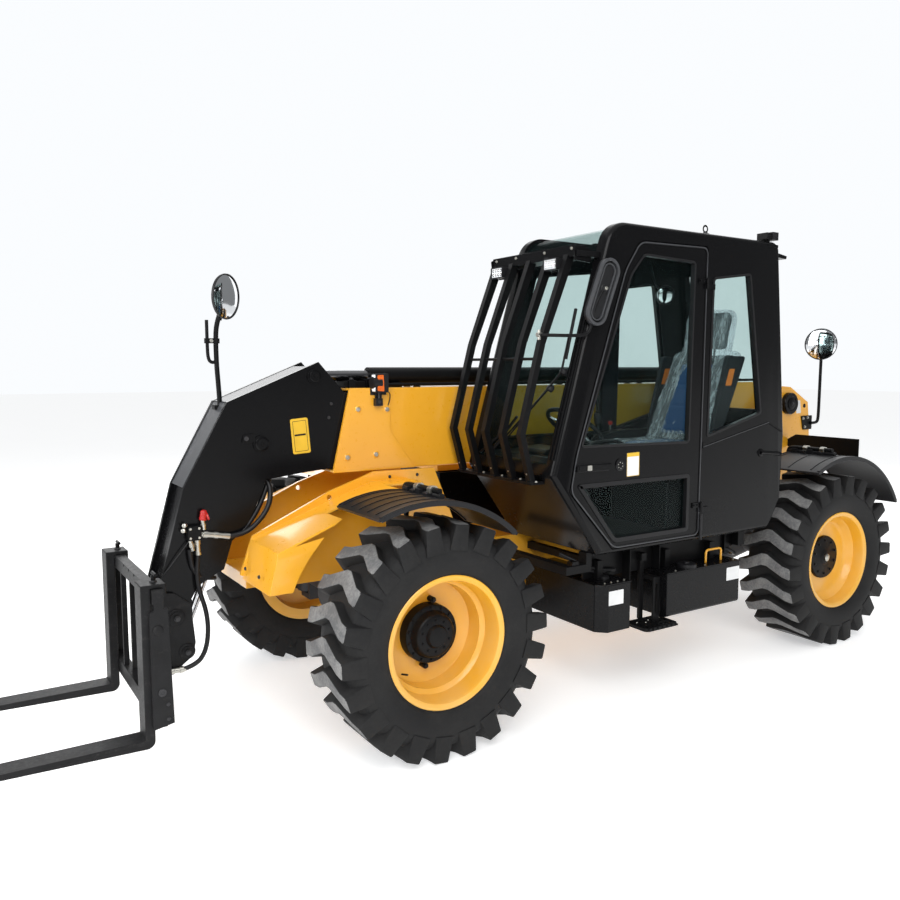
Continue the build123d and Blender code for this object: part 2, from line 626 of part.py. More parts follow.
# ---- boom ----
liftLugHalf = 50
liftEyeHalf = liftLugHalf - moveGap
boomFrontLow, boomFrontHigh = 1795, 1688
collarWide = 110
collarProud = 8
with BuildPart() as outerBoom:
    slab([(-2010, boomBottom + 60), (-1850, boomBottom), (boomFrontLow, boomBottom), (boomFrontHigh, boomTop),
          (-1850, boomTop), (-2160, boomTop - 50), (-2250, 1660), (-2210, 1540)], 0, 2 * boomHalf)
    slab([(boomFrontLow - collarWide, boomBottom), (boomFrontLow, boomBottom), (boomFrontHigh, boomTop),
          (boomFrontHigh - collarWide, boomTop)], 0, 2 * (boomHalf + collarProud))
    half = boomHalf - boomWall
    block((-1800, -half, boomBottom + boomWall), (2000, half, boomTop - boomWall), mode=Mode.SUBTRACT)
    crossBar(*boomPivot, 45 + fitGap, -boomHalf - 1, boomHalf + 1, mode=Mode.SUBTRACT)
    for side in (1, -1):
        slab([(330, boomBottom), (570, boomBottom), (500, 1140), (400, 1140)], side * (liftLugHalf + 10), 20)
        crossBar(*liftRodPin, 30, *sorted((side * (liftLugHalf + 1), side * (liftLugHalf + 34))))
save(outerBoom.part, "outer_boom")

innerHalfY = boomHalf - boomWall - slideGap
innerLow = boomBottom + boomWall + slideGap
innerHigh = boomTop - boomWall - slideGap
headLowX, headHighX = boomFrontLow + 22, boomFrontHigh + 22
with BuildPart() as innerBoom:
    slab([(-1650, innerLow), (headLowX, innerLow), (headHighX, innerHigh), (-1650, innerHigh)], 0, 2 * innerHalfY)
    block((-1700, -innerHalfY + innerWall, innerLow + innerWall), (2000, innerHalfY - innerWall,
          innerHigh - innerWall), mode=Mode.SUBTRACT)
save(innerBoom.part, "inner_boom")

hitchX, hitchZ = hitchPin
bossRadius = 88
headOutline = [(headHighX, innerHigh), (1861, 1945), (2370, 1738), (2605, 1308), (2743, 793),
               (hitchX + bossRadius, hitchZ), (hitchX - bossRadius, hitchZ), (hitchX - bossRadius, hitchZ + 80),
               (hitchX - 122, hitchZ + 140), (2430, 862), (2409, 869), (2362, 1015), (2290, 1072),
               (2197, 1249), (2170, 1330), (headLowX, innerLow)]
# front flange and underside between the side plates, as runs of their outer face
webRuns = [(1950, 1886), (2356, 1720), (2585, 1300), (2716, 810)]
web = 14
with BuildPart() as head:
    for side in (1, -1):
        slab(headOutline, side * (headHalf - headPlate / 2), headPlate)
        crossBar(hitchX, hitchZ, bossRadius, *sorted((side * (headHalf - headPlate), side * headHalf)))
        for pin, radius in ((tiltBasePin, 46), (extensionPin, 42)):
            crossBar(*pin, radius, *sorted((side * (headHalf - 1), side * (headHalf + 10))))
    for (xa, za), (xb, zb) in zip(webRuns, webRuns[1:]):
        run = math.hypot(xb - xa, zb - za)
        nx, nz = (zb - za) / run * web, -(xb - xa) / run * web
        slab([(xa, za), (xb, zb), (xb + nx, zb + nz), (xa + nx, za + nz)], 0, 2 * (headHalf - headPlate) + 2)
    slab([(headLowX + 10, innerLow), (2160, 1318), (2163, 1332), (headLowX + 10, innerLow + 14)], 0,
         2 * (headHalf - headPlate) + 2)
    crossBar(*tiltBasePin, 28, -headHalf - 20, headHalf + 20)
    crossBar(*extensionPin, 26, -headHalf - 20, headHalf + 20)
    crossBar(*hitchPin, 32 + fitGap, -headHalf - 1, headHalf + 1, mode=Mode.SUBTRACT)
    couplingX, couplingY, couplingZ = hitchX - 102, headHalf + 20, hitchZ + 423
    block((couplingX - 30, headHalf - 1, couplingZ - 33), (couplingX + 30, headHalf + 42, couplingZ + 32))
    rod((couplingX - 25, couplingY, couplingZ - 8), (couplingX - 185, couplingY, couplingZ - 38), 13)
    rod((couplingX - 15, couplingY, couplingZ - 23), (couplingX - 20, couplingY, couplingZ - 98), 12)
save(head.part, "boom_head")

tubeZ = 1868
tubeRear, tubeFront = -1350, 1500
with BuildPart() as barrel:
    rod((tubeRear, 0, tubeZ), (tubeFront, 0, tubeZ), 48)
    rod((tubeRear + 10, 0, tubeZ), (tubeFront + 1, 0, tubeZ), 30 + softGap, mode=Mode.SUBTRACT)
    for x in (tubeRear + 50, tubeFront - 200):
        block((x, -60, boomTop), (x + 60, 60, tubeZ - 40))
save(barrel.part, "extension_barrel")
with BuildPart() as extensionRod:
    rod((tubeRear + 100, 0, tubeZ), (extensionPin[0] - 40, 0, tubeZ), 30)
    crossBar(*extensionPin, 50, -35, 35)
    crossBar(*extensionPin, 26 + fitGap, -36, 36, mode=Mode.SUBTRACT)
save(extensionRod.part, "extension_rod")

with BuildPart() as boomLamp:
    block((1465, boomHalf, 1760), (1565, boomHalf + 14, 1850))
    block((1475, boomHalf + 13, 1775), (1555, boomHalf + 62, 1880))
    rod((1515, boomHalf + 38, 1830), (1570, boomHalf + 38, 1830), 34)
save(boomLamp.part, "boom_lamp")

# ---- carriage and forks ----
hookThick = 20
barFront = forkFaceX - softGap
barBack = forkFaceX - 50
topBar = (forkTopZ - hookThick - softGap - 65, forkTopZ - hookThick - softGap)
lowBar = (forkHeelZ + 105, forkHeelZ + 180)
hitchPlateY = headHalf + moveGap + 10
endPlate = 20
rodPinX, rodPinZ = tiltRodPin
with BuildPart() as carriage:
    for side in (1, -1):
        slab([(barFront - 30, lowBar[0]), (barFront - 30, topBar[1]), (hitchX + 150, hitchZ + 150),
              (hitchX + 5, hitchZ + 125), (hitchX - 75, hitchZ + 60), (rodPinX - 45, rodPinZ + 40),
              (rodPinX - 30, rodPinZ - 28), (rodPinX + 40, rodPinZ - 80), (hitchX + 60, lowBar[1] + 40),
              (hitchX + 110, lowBar[0])], side * hitchPlateY, 20)
        crossBar(rodPinX, rodPinZ, 28, *sorted((side * liftLugHalf, side * (hitchPlateY + 24))))
        slab([(barBack - 32, lowBar[0] + 10), (barFront + 14, lowBar[0] - 8), (barFront + 14, topBar[0] - 40),
              (barFront - 20, topBar[0] - 20), (barBack - 18, topBar[0] - 28)],
             side * (carriageHalf - endPlate / 2), endPlate)
        block((barBack, side * (carriageHalf - 10) - 10, topBar[0] - 60), (barFront - 6,
              side * (carriageHalf - 10) + 10, topBar[1]))
    crossBar(*hitchPin, 32, -hitchPlateY - 24, hitchPlateY + 24)
    for low, high in (topBar, lowBar):
        block((barBack, -carriageHalf, low), (barFront, carriageHalf, high))
    for y in (-230, 230):
        block((barBack + 20, y - 10, lowBar[0]), (barFront - 4, y + 10, topBar[1]))
save(carriage.part, "fork_carriage")

forkPoints = [(forkFaceX, forkHeelZ), (forkTipX, forkHeelZ + 32), (forkTipX, forkHeelZ + forkThick),
              (forkFaceX + forkThick, forkHeelZ + forkThick), (forkFaceX + forkThick, forkTopZ),
              (barBack - hookThick, forkTopZ), (barBack - hookThick, topBar[1] - 40),
              (barBack - softGap, topBar[1] - 40), (barBack - softGap, topBar[1] + softGap),
              (forkFaceX, topBar[1] + softGap)]
with BuildPart() as forks:
    for side in (1, -1):
        slab(forkPoints, side * forkSpread, forkWidth)
    heels = forks.edges().filter_by(Axis.Y).filter_by(lambda e: e.center().Z < forkHeelZ + 1)
    fillet(heels.filter_by(lambda e: e.center().X < forkFaceX + 1), radius=38)
save(forks.part, "forks")

# ---- cylinders, with the distance from the base pin to the gland and to the piston ----
# name, base pin, rod pin, barrel and rod radius, gland, piston, base and rod pin radius
cylinders = [
    ("lift", liftBasePin, liftRodPin, 62, 35, 1700, 150, 34, 30),
    ("tilt", tiltBasePin, tiltRodPin, 50, 27, 720, 420, 28, 28),
]
boreStart = 90
for name, base, tip, barrelRadius, rodRadius, gland, piston, basePin, tipPin in cylinders:
    length = math.dist(base, tip)
    line = [between(base, tip, d / length) for d in (boreStart - 10, gland, boreStart, gland + 1, piston, length - 40)]
    neck, top, bore, mouth, start, end = [(p[0], 0, p[1]) for p in line]
    with BuildPart() as body:
        rod(neck, top, barrelRadius)
        rod((base[0], 0, base[1]), neck, liftEyeHalf - 8)
        crossBar(*base, basePin + 24, -liftEyeHalf, liftEyeHalf)
        rod(bore, mouth, rodRadius + softGap, mode=Mode.SUBTRACT)
        crossBar(*base, basePin + fitGap, -liftEyeHalf - 1, liftEyeHalf + 1, mode=Mode.SUBTRACT)
    save(body.part, f"{name}_barrel")
    with BuildPart() as pistonRod:
        rod(start, end, rodRadius)
        crossBar(*tip, tipPin + 20, -liftEyeHalf, liftEyeHalf)
    save(pistonRod.part, f"{name}_rod")

# ---- lamps, board and mirrors ----
with BuildPart() as lamps:
    for i in (0, guardBars - 2):
        y = guardRight + guardPitch * (i + 0.5)
        block((690, y - 55, railLow - 62), (740, y + 55, railLow))
    block((-870, cabMid - 60, roofZ - 5), (-760, cabMid + 60, roofZ + 55))
save(lamps.part, "work_lamps")
boardX = -2140
with BuildPart() as board:
    with BuildSketch(Plane.YZ.offset(boardX)):
        with BuildLine():
            outline([(frameHalf, 1290), (300, 1250), (826, 1250), (826, 1385), (300, 1385), (frameHalf, 1345)])
        make_face()
    extrude(amount=8)
    block((boardX - 20, 640, 1330), (boardX, 800, 1375))
save(board.part, "lamp_board")
mirrorZ = 2100
footX, footZ = between(webRuns[0], webRuns[1], 0.862)
faceX, faceY = math.cos(math.radians(132)), math.sin(math.radians(132))
mirrorRadius = 118
rearRadius = 130
poleX = tailX - 90
with BuildPart() as mirrorFront:
    slab([(footX - 35, footZ + 14.7), (footX + 35, footZ - 13.9), (footX + 40, footZ - 2),
          (footX - 30, footZ + 26.6)], 0, 70)
    tube([(footX, 0, footZ + 5.4), (footX, 0, footZ + 45), (2374, 0, 1838), (2378, 0, 2170), (2340, 36.5, 2222)],
         11)
    rod((2335 - 9 * faceX, 42 - 9 * faceY, 2280), (2335 + 9 * faceX, 42 + 9 * faceY, 2280), mirrorRadius)
save(mirrorFront.part, "front_mirror")
with BuildPart() as mirrorRear:
    block((poleX + 8, frameHalf, 1410), (-2290, frameHalf + 8, 1525))
    tube([(poleX + 20, frameHalf + 16, 1490), (poleX, frameHalf + 16, 1520), (poleX, frameHalf + 16, mirrorZ - 60)],
         11)
    rod((poleX - 3, frameHalf + 20, mirrorZ), (poleX + 19, frameHalf + 24, mirrorZ + 2), rearRadius)
save(mirrorRear.part, "rear_mirror")
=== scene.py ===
import bpy
import bmesh
import json
import math
from mathutils import Matrix, Vector, noise


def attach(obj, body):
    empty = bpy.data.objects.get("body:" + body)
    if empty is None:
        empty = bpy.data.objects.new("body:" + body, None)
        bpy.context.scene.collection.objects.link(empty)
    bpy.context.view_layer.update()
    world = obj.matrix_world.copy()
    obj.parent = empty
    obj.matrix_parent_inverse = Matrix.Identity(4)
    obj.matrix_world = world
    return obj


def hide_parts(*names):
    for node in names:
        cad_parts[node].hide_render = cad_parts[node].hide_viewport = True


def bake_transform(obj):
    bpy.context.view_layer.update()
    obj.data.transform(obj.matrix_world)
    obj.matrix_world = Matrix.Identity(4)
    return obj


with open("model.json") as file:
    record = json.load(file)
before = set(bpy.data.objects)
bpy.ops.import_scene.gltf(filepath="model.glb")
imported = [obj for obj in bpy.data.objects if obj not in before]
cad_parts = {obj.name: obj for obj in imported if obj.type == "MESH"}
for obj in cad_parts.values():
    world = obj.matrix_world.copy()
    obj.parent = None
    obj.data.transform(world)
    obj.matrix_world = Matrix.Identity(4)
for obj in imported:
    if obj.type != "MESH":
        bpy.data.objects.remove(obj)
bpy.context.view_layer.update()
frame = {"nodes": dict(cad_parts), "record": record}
nodes = frame["nodes"]

# places are written in mm about the middle of the wheelbase, x forward, y to the left, z up
middleX = 785


def at(x, y, z):
    return Vector(((x - middleX) / 1000, y / 1000, z / 1000))


# an object made from data and put in the scene
def addObject(name, data):
    made = bpy.data.objects.new(name, data)
    bpy.context.scene.collection.objects.link(made)
    return made


# each thing once, in the order met, so that every run gives operators the same order
def once(things):
    return list(dict.fromkeys(things))


# two distances from the middle plane, in order, on one side of it
def between(side, a, b):
    return sorted((side * a, side * b))


# an upright rectangle from one corner to the opposite one
def rect(a0, b0, a1, b1):
    return [(a0, b0), (a1, b0), (a1, b1), (a0, b1)]


# a node of a sum on sockets, so shades can be written as plain sums
class Value:
    def __init__(self, finish, socket):
        self.finish, self.socket = finish, socket

    def join(self, operation, a, b):
        return self.finish.node("ShaderNodeMath", {"operation": operation}, {0: a, 1: b})

    def __add__(self, other):
        return self.join("ADD", self, other)

    def __radd__(self, other):
        return self.join("ADD", other, self)

    def __sub__(self, other):
        return self.join("SUBTRACT", self, other)

    def __rsub__(self, other):
        return self.join("SUBTRACT", other, self)

    def __mul__(self, other):
        return self.join("MULTIPLY", self, other)

    def __rmul__(self, other):
        return self.join("MULTIPLY", other, self)

    def __truediv__(self, other):
        return self.join("DIVIDE", self, other)

    def __pow__(self, other):
        return self.join("POWER", self, other)


class Finish:
    def __init__(self, name, **sockets):
        self.material = bpy.data.materials.new(name)
        self.material.use_nodes = True
        self.tree = self.material.node_tree
        self.shader = self.tree.nodes["Principled BSDF"]
        self.place = None
        for label, value in sockets.items():
            self.set(label.replace("_", " ").title().replace("Ior", "IOR"), value)

    def set(self, label, value):
        target = self.shader.inputs[label]
        if isinstance(value, Value):
            self.tree.links.new(value.socket, target)
        else:
            colour = isinstance(value, tuple) and len(value) == 3
            target.default_value = (*value, 1) if colour else value

    # a node of any type: its settings first, then its sockets' values or links
    def node(self, kind, settings=None, sockets=None, out=0):
        made = self.tree.nodes.new(kind)
        for label, value in (settings or {}).items():
            if label == "stops":
                ramp = made.color_ramp
                for i, (place, shade) in enumerate(value):
                    stop = ramp.elements[i] if i < 2 else ramp.elements.new(place)
                    stop.position = place
                    stop.color = (shade, shade, shade, 1)
            else:
                setattr(made, label, value)
        for label, value in (sockets or {}).items():
            if isinstance(value, Value):
                self.tree.links.new(value.socket, made.inputs[label])
            elif value is not None:
                made.inputs[label].default_value = value
        return Value(self, made.outputs[out])

    def position(self):
        if self.place is None:
            self.place = self.node("ShaderNodeTexCoord", out="Object")
        return self.place

    def stretched(self, scale):
        return self.node("ShaderNodeMapping", {}, {"Vector": self.position(), "Scale": scale})

    def noise(self, scale, detail=3, rough=0.5, vector=None):
        return self.node("ShaderNodeTexNoise", {},
                         {"Vector": vector or self.position(), "Scale": scale,
                                                    "Detail": detail, "Roughness": rough})

    # 0 below low, 1 above high
    def step(self, value, low, high):
        return self.node("ShaderNodeMapRange", {"clamp": True},
                         {"Value": value, "From Min": low, "From Max": high})

    def tint(self, factor, first, second):
        made = self.tree.nodes.new("ShaderNodeMix")
        made.data_type = "RGBA"
        for slot, value in ((0, factor), (6, first), (7, second)):
            if isinstance(value, Value):
                self.tree.links.new(value.socket, made.inputs[slot])
            else:
                made.inputs[slot].default_value = (*value, 1) if isinstance(value, tuple) else value
        return Value(self, made.outputs[2])

    def bump(self, height, strength, distance=0.001):
        self.set("Normal", self.node("ShaderNodeBump", {}, {"Height": height, "Strength": strength,
                                                            "Distance": distance}))


def height(finish):
    return finish.node("ShaderNodeSeparateXYZ", {}, {0: finish.position()}, out="Z")


# paint with a faint orange-peel skin, dust low down and thin smears
def paint(name, colour, dust, roughness, coat, dusty=0.25, peel=0.05, gloss=0.5):
    made = Finish(name, specular_ior_level=gloss, coat_weight=coat, coat_roughness=0.12)
    broad = made.noise(3.2, 4, 0.6)
    fine = made.noise(42, 5, 0.65)
    low = 1 - made.step(height(made), 0.25, 1.5)
    film = made.step(broad * 0.85 + fine * 0.2 + low * 0.3, 0.62, 1.15) * dusty
    shade = made.tint(made.step(broad, 0.3, 0.75), tuple(c * 0.93 for c in colour), colour)
    made.set("Base Color", made.tint(film, shade, dust))
    made.set("Roughness", made.step(fine, 0.25, 0.8) * 0.06 + film * 0.6 + roughness)
    made.bump(made.noise(150, 2, 0.5), peel, 0.0004)
    return made.material


def plain(name, colour, roughness, metallic=0.0, grain=300, depth=0.15, spread=0.12, **more):
    made = Finish(name, metallic=metallic, **more)
    fine = made.noise(grain, 4, 0.6)
    broad = made.noise(grain / 14, 3, 0.5)
    made.set("Base Color", made.tint(made.step(broad, 0.3, 0.7), tuple(c * 0.8 for c in colour),
                                     colour))
    made.set("Roughness", made.step(fine, 0.2, 0.8) * spread + (roughness - spread / 2))
    made.bump(fine, depth, 0.0008)
    return made.material


def wornSteel(name):
    made = Finish(name, specular_ior_level=0.2)
    broad = made.noise(5, 5, 0.65)
    fine = made.noise(60, 6, 0.7)
    streak = made.noise(26, 4, 0.6, made.stretched((0.12, 1, 1)))
    scuff = made.step(streak * 0.5 + fine * 0.6, 0.60, 0.80)
    shade = made.tint(made.step(broad, 0.35, 0.7), (0.006, 0.006, 0.0065), (0.013, 0.013, 0.014))
    made.set("Base Color", made.tint(scuff * 0.5, shade, (0.06, 0.057, 0.054)))
    made.set("Roughness", made.step(fine, 0.2, 0.8) * 0.25 + 0.38)
    made.bump(fine, 0.25, 0.0012)
    return made.material


def rubber(name, base, dusty):
    made = Finish(name, specular_ior_level=0.25)
    broad = made.noise(7, 5, 0.65)
    fine = made.noise(75, 6, 0.7)
    film = made.step(broad * 0.7 + fine * 0.5, 0.52, 0.86)
    pale = tuple(b + dusty for b in (base[0] * 1.15, base[1] * 1.1, base[2]))
    made.set("Base Color", made.tint(film, base, pale))
    made.set("Roughness", film * 0.18 + 0.62)
    made.bump(made.noise(180, 5, 0.7), 0.35, 0.0015)
    return made.material


# what lies behind shows through by the share that the finish doesn't cover
def seeThrough(made, tint, covered):
    through = made.node("ShaderNodeBsdfTransparent", {}, {"Color": (*tint, 1)})
    own = Value(made, made.shader.outputs[0])
    both = made.node("ShaderNodeMixShader", {}, {0: covered, 1: through, 2: own})
    made.tree.links.new(both.socket, made.tree.nodes["Material Output"].inputs["Surface"])
    made.material.surface_render_method = "BLENDED"
    return made.material


# a clear tinted pane: mostly see-through, mirror-like towards its edges
def glass(name, tint):
    made = Finish(name, base_color=(0.010, 0.022, 0.022, 1), roughness=0.03, specular_ior_level=0.9)
    edge = made.node("ShaderNodeLayerWeight", {}, {"Blend": 0.22}, out="Facing")
    smear = made.step(made.noise(2.5, 4, 0.6), 0.5, 0.9)
    return seeThrough(made, tint, edge ** 2 * 0.4 + smear * 0.04 + 0.05)


def filmOver(name):
    made = Finish(name, base_color=(0.78, 0.86, 0.92, 1), roughness=0.14, specular_ior_level=0.9)
    fold = made.noise(16, 5, 0.65, made.stretched((1.0, 2.2, 0.28)))
    crease = made.noise(40, 4, 0.6, made.stretched((1.0, 1.6, 0.5)))
    pale = made.step(fold, 0.46, 0.68) * 0.5 + made.step(crease, 0.58, 0.74) * 0.3
    made.bump(fold, 0.8, 0.012)
    return seeThrough(made, (0.97, 0.98, 1.0), pale * 0.75 + 0.17)


finishes = {
    "yellow": paint("yellowPaint", (0.86, 0.405, 0.022), (0.62, 0.50, 0.33), 0.26, 0.55),
    "rimYellow": paint("rimPaint", (0.86, 0.43, 0.024), (0.55, 0.46, 0.33), 0.34, 0.35, dusty=0.35),
    "black": paint("blackPaint", (0.0036, 0.0036, 0.0041), (0.035, 0.033, 0.031), 0.22, 0.05,
                   dusty=0.10, gloss=0.13),
    "satin": paint("satinBlack", (0.0050, 0.0050, 0.0055), (0.04, 0.038, 0.036), 0.38, 0.02,
                   dusty=0.14, gloss=0.13),
    "steel": wornSteel("wornBlackSteel"),
    "iron": plain("greyIron", (0.042, 0.042, 0.045), 0.5, 0.4, 120, 0.3),
    "rubber": rubber("tyreRubber", (0.0085, 0.0085, 0.009), 0.011),
    "tread": rubber("treadTop", (0.105, 0.106, 0.108), 0.17),
    "trim": plain("blackRubberTrim", (0.008, 0.008, 0.009), 0.42, 0, 400, 0.15,
                  specular_ior_level=0.3),
    # grey for thin strips and rings on black parts: painted highlight on their lit edges
    "grey": plain("paintedHighlightGrey", (0.055, 0.057, 0.062), 0.36, 0, 400, 0.15, specular_ior_level=0.4),
    "plastic": plain("blackPlastic", (0.0105, 0.0105, 0.0118), 0.4, 0, 500, 0.2,
                     specular_ior_level=0.3),
    "glass": glass("tintedGlass", (0.885, 0.945, 0.938)),
    "chrome": plain("chromedRod", (0.80, 0.81, 0.83), 0.14, 1.0, 600, 0.02, 0.05),
    "oiled": plain("oiledRod", (0.16, 0.16, 0.165), 0.24, 1.0, 60, 0.05, 0.1),
    "zinc": plain("zincPlate", (0.56, 0.55, 0.50), 0.34, 1.0, 300, 0.08),
    "mirror": plain("mirrorGlass", (0.86, 0.88, 0.90), 0.06, 1.0, 40, 0.01, 0.03),
    "red": plain("redCap", (0.50, 0.016, 0.014), 0.4),
    "orange": plain("orangeLens", (0.85, 0.16, 0.01), 0.2),
    "lens": plain("lampLens", (0.86, 0.88, 0.90), 0.1, 0, emission_color=(0.95, 0.97, 1.0, 1),
                  emission_strength=0.3),
    "label": plain("yellowLabel", (0.80, 0.50, 0.03), 0.35, 0, 90, 0.02),
    "white": plain("whitePlate", (0.82, 0.83, 0.83), 0.35, 0, 60, 0.02, 0.06),
    "blue": plain("seatCloth", (0.022, 0.075, 0.20), 0.85, 0, 900, 0.6),
    "dark": plain("seatEdge", (0.012, 0.013, 0.017), 0.8, 0, 900, 0.5),
    "belt": plain("beltTag", (0.80, 0.22, 0.03), 0.6),
    "film": filmOver("clearFilm"),
}


def sharpen(bm, angle=34):
    for face in bm.faces:
        face.smooth = True
    for edge in bm.edges:
        edge.smooth = len(edge.link_faces) == 2 and edge.calc_face_angle(0) < math.radians(angle)


# a piece rides on its body, and may stand for CAD nodes
def carried(piece, body, replaced):
    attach(piece, body)
    if replaced:
        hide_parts(*replaced)
    return piece


# a bmesh made an object that rides on a body
def finishPiece(name, bm, body, finish, bevel=0, segments=2, replaced=(), angle=34):
    sharpen(bm, angle)
    mesh = bpy.data.meshes.new(name)
    bm.to_mesh(mesh)
    bm.free()
    piece = addObject(name, mesh)
    for key in [finish] if isinstance(finish, str) else finish:
        mesh.materials.append(finishes[key])
    if bevel:
        rounding = piece.modifiers.new("rounding", "BEVEL")
        rounding.width = bevel / 1000
        rounding.segments = segments
        rounding.limit_method = "ANGLE"
        rounding.angle_limit = math.radians(angle)
        rounding.harden_normals = True
        rounding.use_clamp_overlap = True
    return carried(piece, body, replaced)


record = frame["record"]
bodyOf = {node: body for body, listed in record["behaviour"]["bodies"].items() for node in listed}
slotOf = {part["node"]: part["material_slot"] for part in record["subparts"]}


# a CAD node's own shape, with its edges eased
def eased(node, finish, bevel=3, segments=2, angle=30):
    bm = bmesh.new()
    bm.from_mesh(nodes[node].data)
    bmesh.ops.remove_doubles(bm, verts=bm.verts, dist=0.00004)
    bmesh.ops.dissolve_limit(bm, angle_limit=math.radians(0.6), verts=bm.verts, edges=bm.edges)
    return finishPiece(f"{node}_eased", bm, bodyOf[node], finish, bevel, segments,
                       [node], angle)


# shapes gathered in one piece; every shape is made by an operator and set in place
class Kit:
    def __init__(self, name, body, finish, bevel=1.5, segments=2, slot=None, replaced=()):
        self.settings = (name, body, finish, bevel, segments, slot, replaced)
        self.keys = [finish] if isinstance(finish, str) else list(finish)
        self.bm = bmesh.new()

    def paintNew(self, verts, key):
        index = self.keys.index(key) if key else 0
        for face in once(f for v in verts for f in v.link_faces):
            face.material_index = index

    def box(self, low, high, key=None, turn=None):
        low, high = at(*low), at(*high)
        made = bmesh.ops.create_cube(self.bm, size=1)["verts"]
        bmesh.ops.scale(self.bm, vec=high - low, verts=made)
        if turn:
            bmesh.ops.rotate(self.bm, matrix=turn, verts=made)
        bmesh.ops.translate(self.bm, vec=(low + high) / 2, verts=made)
        self.paintNew(made, key)
        return made

    def rod(self, start, end, radius, key=None, sides=20, tip=None):
        start, end = at(*start), at(*end)
        made = bmesh.ops.create_cone(self.bm, cap_ends=True, segments=sides, radius1=radius / 1000,
                                     radius2=(radius if tip is None else tip) / 1000,
                                     depth=(end - start).length)["verts"]
        turn = (end - start).to_track_quat("Z", "Y").to_matrix().to_4x4()
        bmesh.ops.transform(self.bm, matrix=Matrix.Translation((start + end) / 2) @ turn,
                            verts=made)
        self.paintNew(made, key)
        return made

    # a hexagon head on a washer, standing on a face along a direction
    def bolt(self, place, along, size=12, key=None):
        foot = Vector(place)
        along = Vector(along).normalized()
        self.rod(foot - along * 1, foot + along * size * 0.16, size * 1.05, key, 16)
        self.rod(foot, foot + along * size * 0.75, size * 0.82, key, 6)

    # an outline in a plane, its corners rounded, hollowed to a rim if asked, grown from one
    # depth to another
    def shape(self, plane, outline, low, high, key=None, rounding=0, rim=0):
        place = {"xz": lambda a, b: (a, low, b), "yz": lambda a, b: (low, a, b), "xy": lambda a,
                 b: (a, b, low)}[plane]
        way = {"xz": (0, high - low, 0), "yz": (high - low, 0, 0), "xy": (0, 0, high - low)}[plane]
        before = set(self.bm.faces)
        verts = [self.bm.verts.new(at(*place(a, b))) for a, b in outline]
        self.bm.faces.new(verts)
        if rounding:
            bmesh.ops.bevel(self.bm, geom=verts, offset=rounding / 1000, segments=5, profile=0.5,
                            affect="VERTICES",
                            material=-1)
        fresh = [f for f in self.bm.faces if f not in before]
        if rim:
            self.bm.normal_update()
            edge = bmesh.ops.inset_region(self.bm, faces=fresh, thickness=rim / 1000,
                                          use_even_offset=True,
                                            use_boundary=True)["faces"]
            bmesh.ops.delete(self.bm, geom=fresh, context="FACES")
            fresh = edge
        self.grow(fresh, Vector(way) / 1000, key)

    def grow(self, faces, way, key):
        grown = bmesh.ops.extrude_face_region(self.bm, geom=faces)["geom"]
        moved = [g for g in grown if isinstance(g, bmesh.types.BMVert)]
        bmesh.ops.translate(self.bm, vec=way, verts=moved)
        made = once(f for v in moved for e in v.link_edges for w in e.verts for f in w.link_faces)
        bmesh.ops.recalc_face_normals(self.bm, faces=made)
        self.paintNew(once(v for f in made for v in f.verts), key)

    # a small rectangle swept round an axle from one angle to another
    def arc(self, centre, radius, y0, y1, thick, first, last, key=None, steps=24):
        x, z = centre
        before = set(self.bm.faces)
        start = math.radians(first)
        ring = [(radius, y0), (radius, y1), (radius + thick, y1), (radius + thick, y0)]
        verts = [self.bm.verts.new(at(x + r * math.cos(start), y, z + r * math.sin(start))) for r,
                 y in ring]
        face = self.bm.faces.new(verts)
        geom = verts + list(face.edges) + [face]
        bmesh.ops.spin(self.bm, geom=geom, cent=at(x, 0, z), axis=(0, -1, 0),
                       angle=math.radians(last - first),
                       steps=steps, use_merge=False)
        made = [f for f in self.bm.faces if f not in before]
        bmesh.ops.recalc_face_normals(self.bm, faces=made)
        self.paintNew(once(v for f in made for v in f.verts), key)

    # a profile of (along, radius) turned about an axis through a place
    def lathe(self, profile, place, along, key=None, steps=48):
        verts = [self.bm.verts.new((r / 1000, 0, a / 1000)) for a, r in profile]
        edges = [self.bm.edges.new(pair) for pair in zip(verts, verts[1:])]
        bmesh.ops.spin(self.bm, geom=verts + edges, angle=math.tau, steps=steps, axis=(0, 0, 1),
                              use_merge=True)
        whole = once(f for v in verts for f in v.link_faces)
        while True:
            wider = once(g for f in whole for e in f.edges for g in e.link_faces)
            if len(wider) == len(whole):
                break
            whole = wider
        made = once(v for f in whole for v in f.verts)
        bmesh.ops.remove_doubles(self.bm, verts=made, dist=0.00001)
        made = [v for v in made if v.is_valid]
        turn = Vector(along).to_track_quat("Z", "Y").to_matrix().to_4x4()
        bmesh.ops.transform(self.bm, matrix=Matrix.Translation(at(*place)) @ turn, verts=made)
        bmesh.ops.recalc_face_normals(self.bm, faces=once(f for v in made for f in v.link_faces))
        self.paintNew(made, key)
        return made

    def done(self):
        name, body, finish, bevel, segments, slot, replaced = self.settings
        return finishPiece(name, self.bm, body, finish, bevel, segments, replaced)


# bent tubes or hoses, one spline for each run of points
def tube(name, body, finish, runs, radius, smooth=True, replaced=(), fine=4):
    curve = bpy.data.curves.new(name, "CURVE")
    curve.dimensions = "3D"
    curve.bevel_depth = radius / 1000
    curve.bevel_resolution = fine
    curve.use_fill_caps = True
    curve.resolution_u = 10
    for points in runs if isinstance(runs[0][0], tuple) else [runs]:
        spline = curve.splines.new("NURBS" if smooth else "POLY")
        spline.points.add(len(points) - 1)
        for point, place in zip(spline.points, points):
            point.co = (*at(*place), 1)
        if smooth:
            spline.order_u = 3
            spline.use_endpoint_u = True
    curve.materials.append(finishes[finish])
    piece = addObject(name, curve)
    return carried(piece, body, replaced)


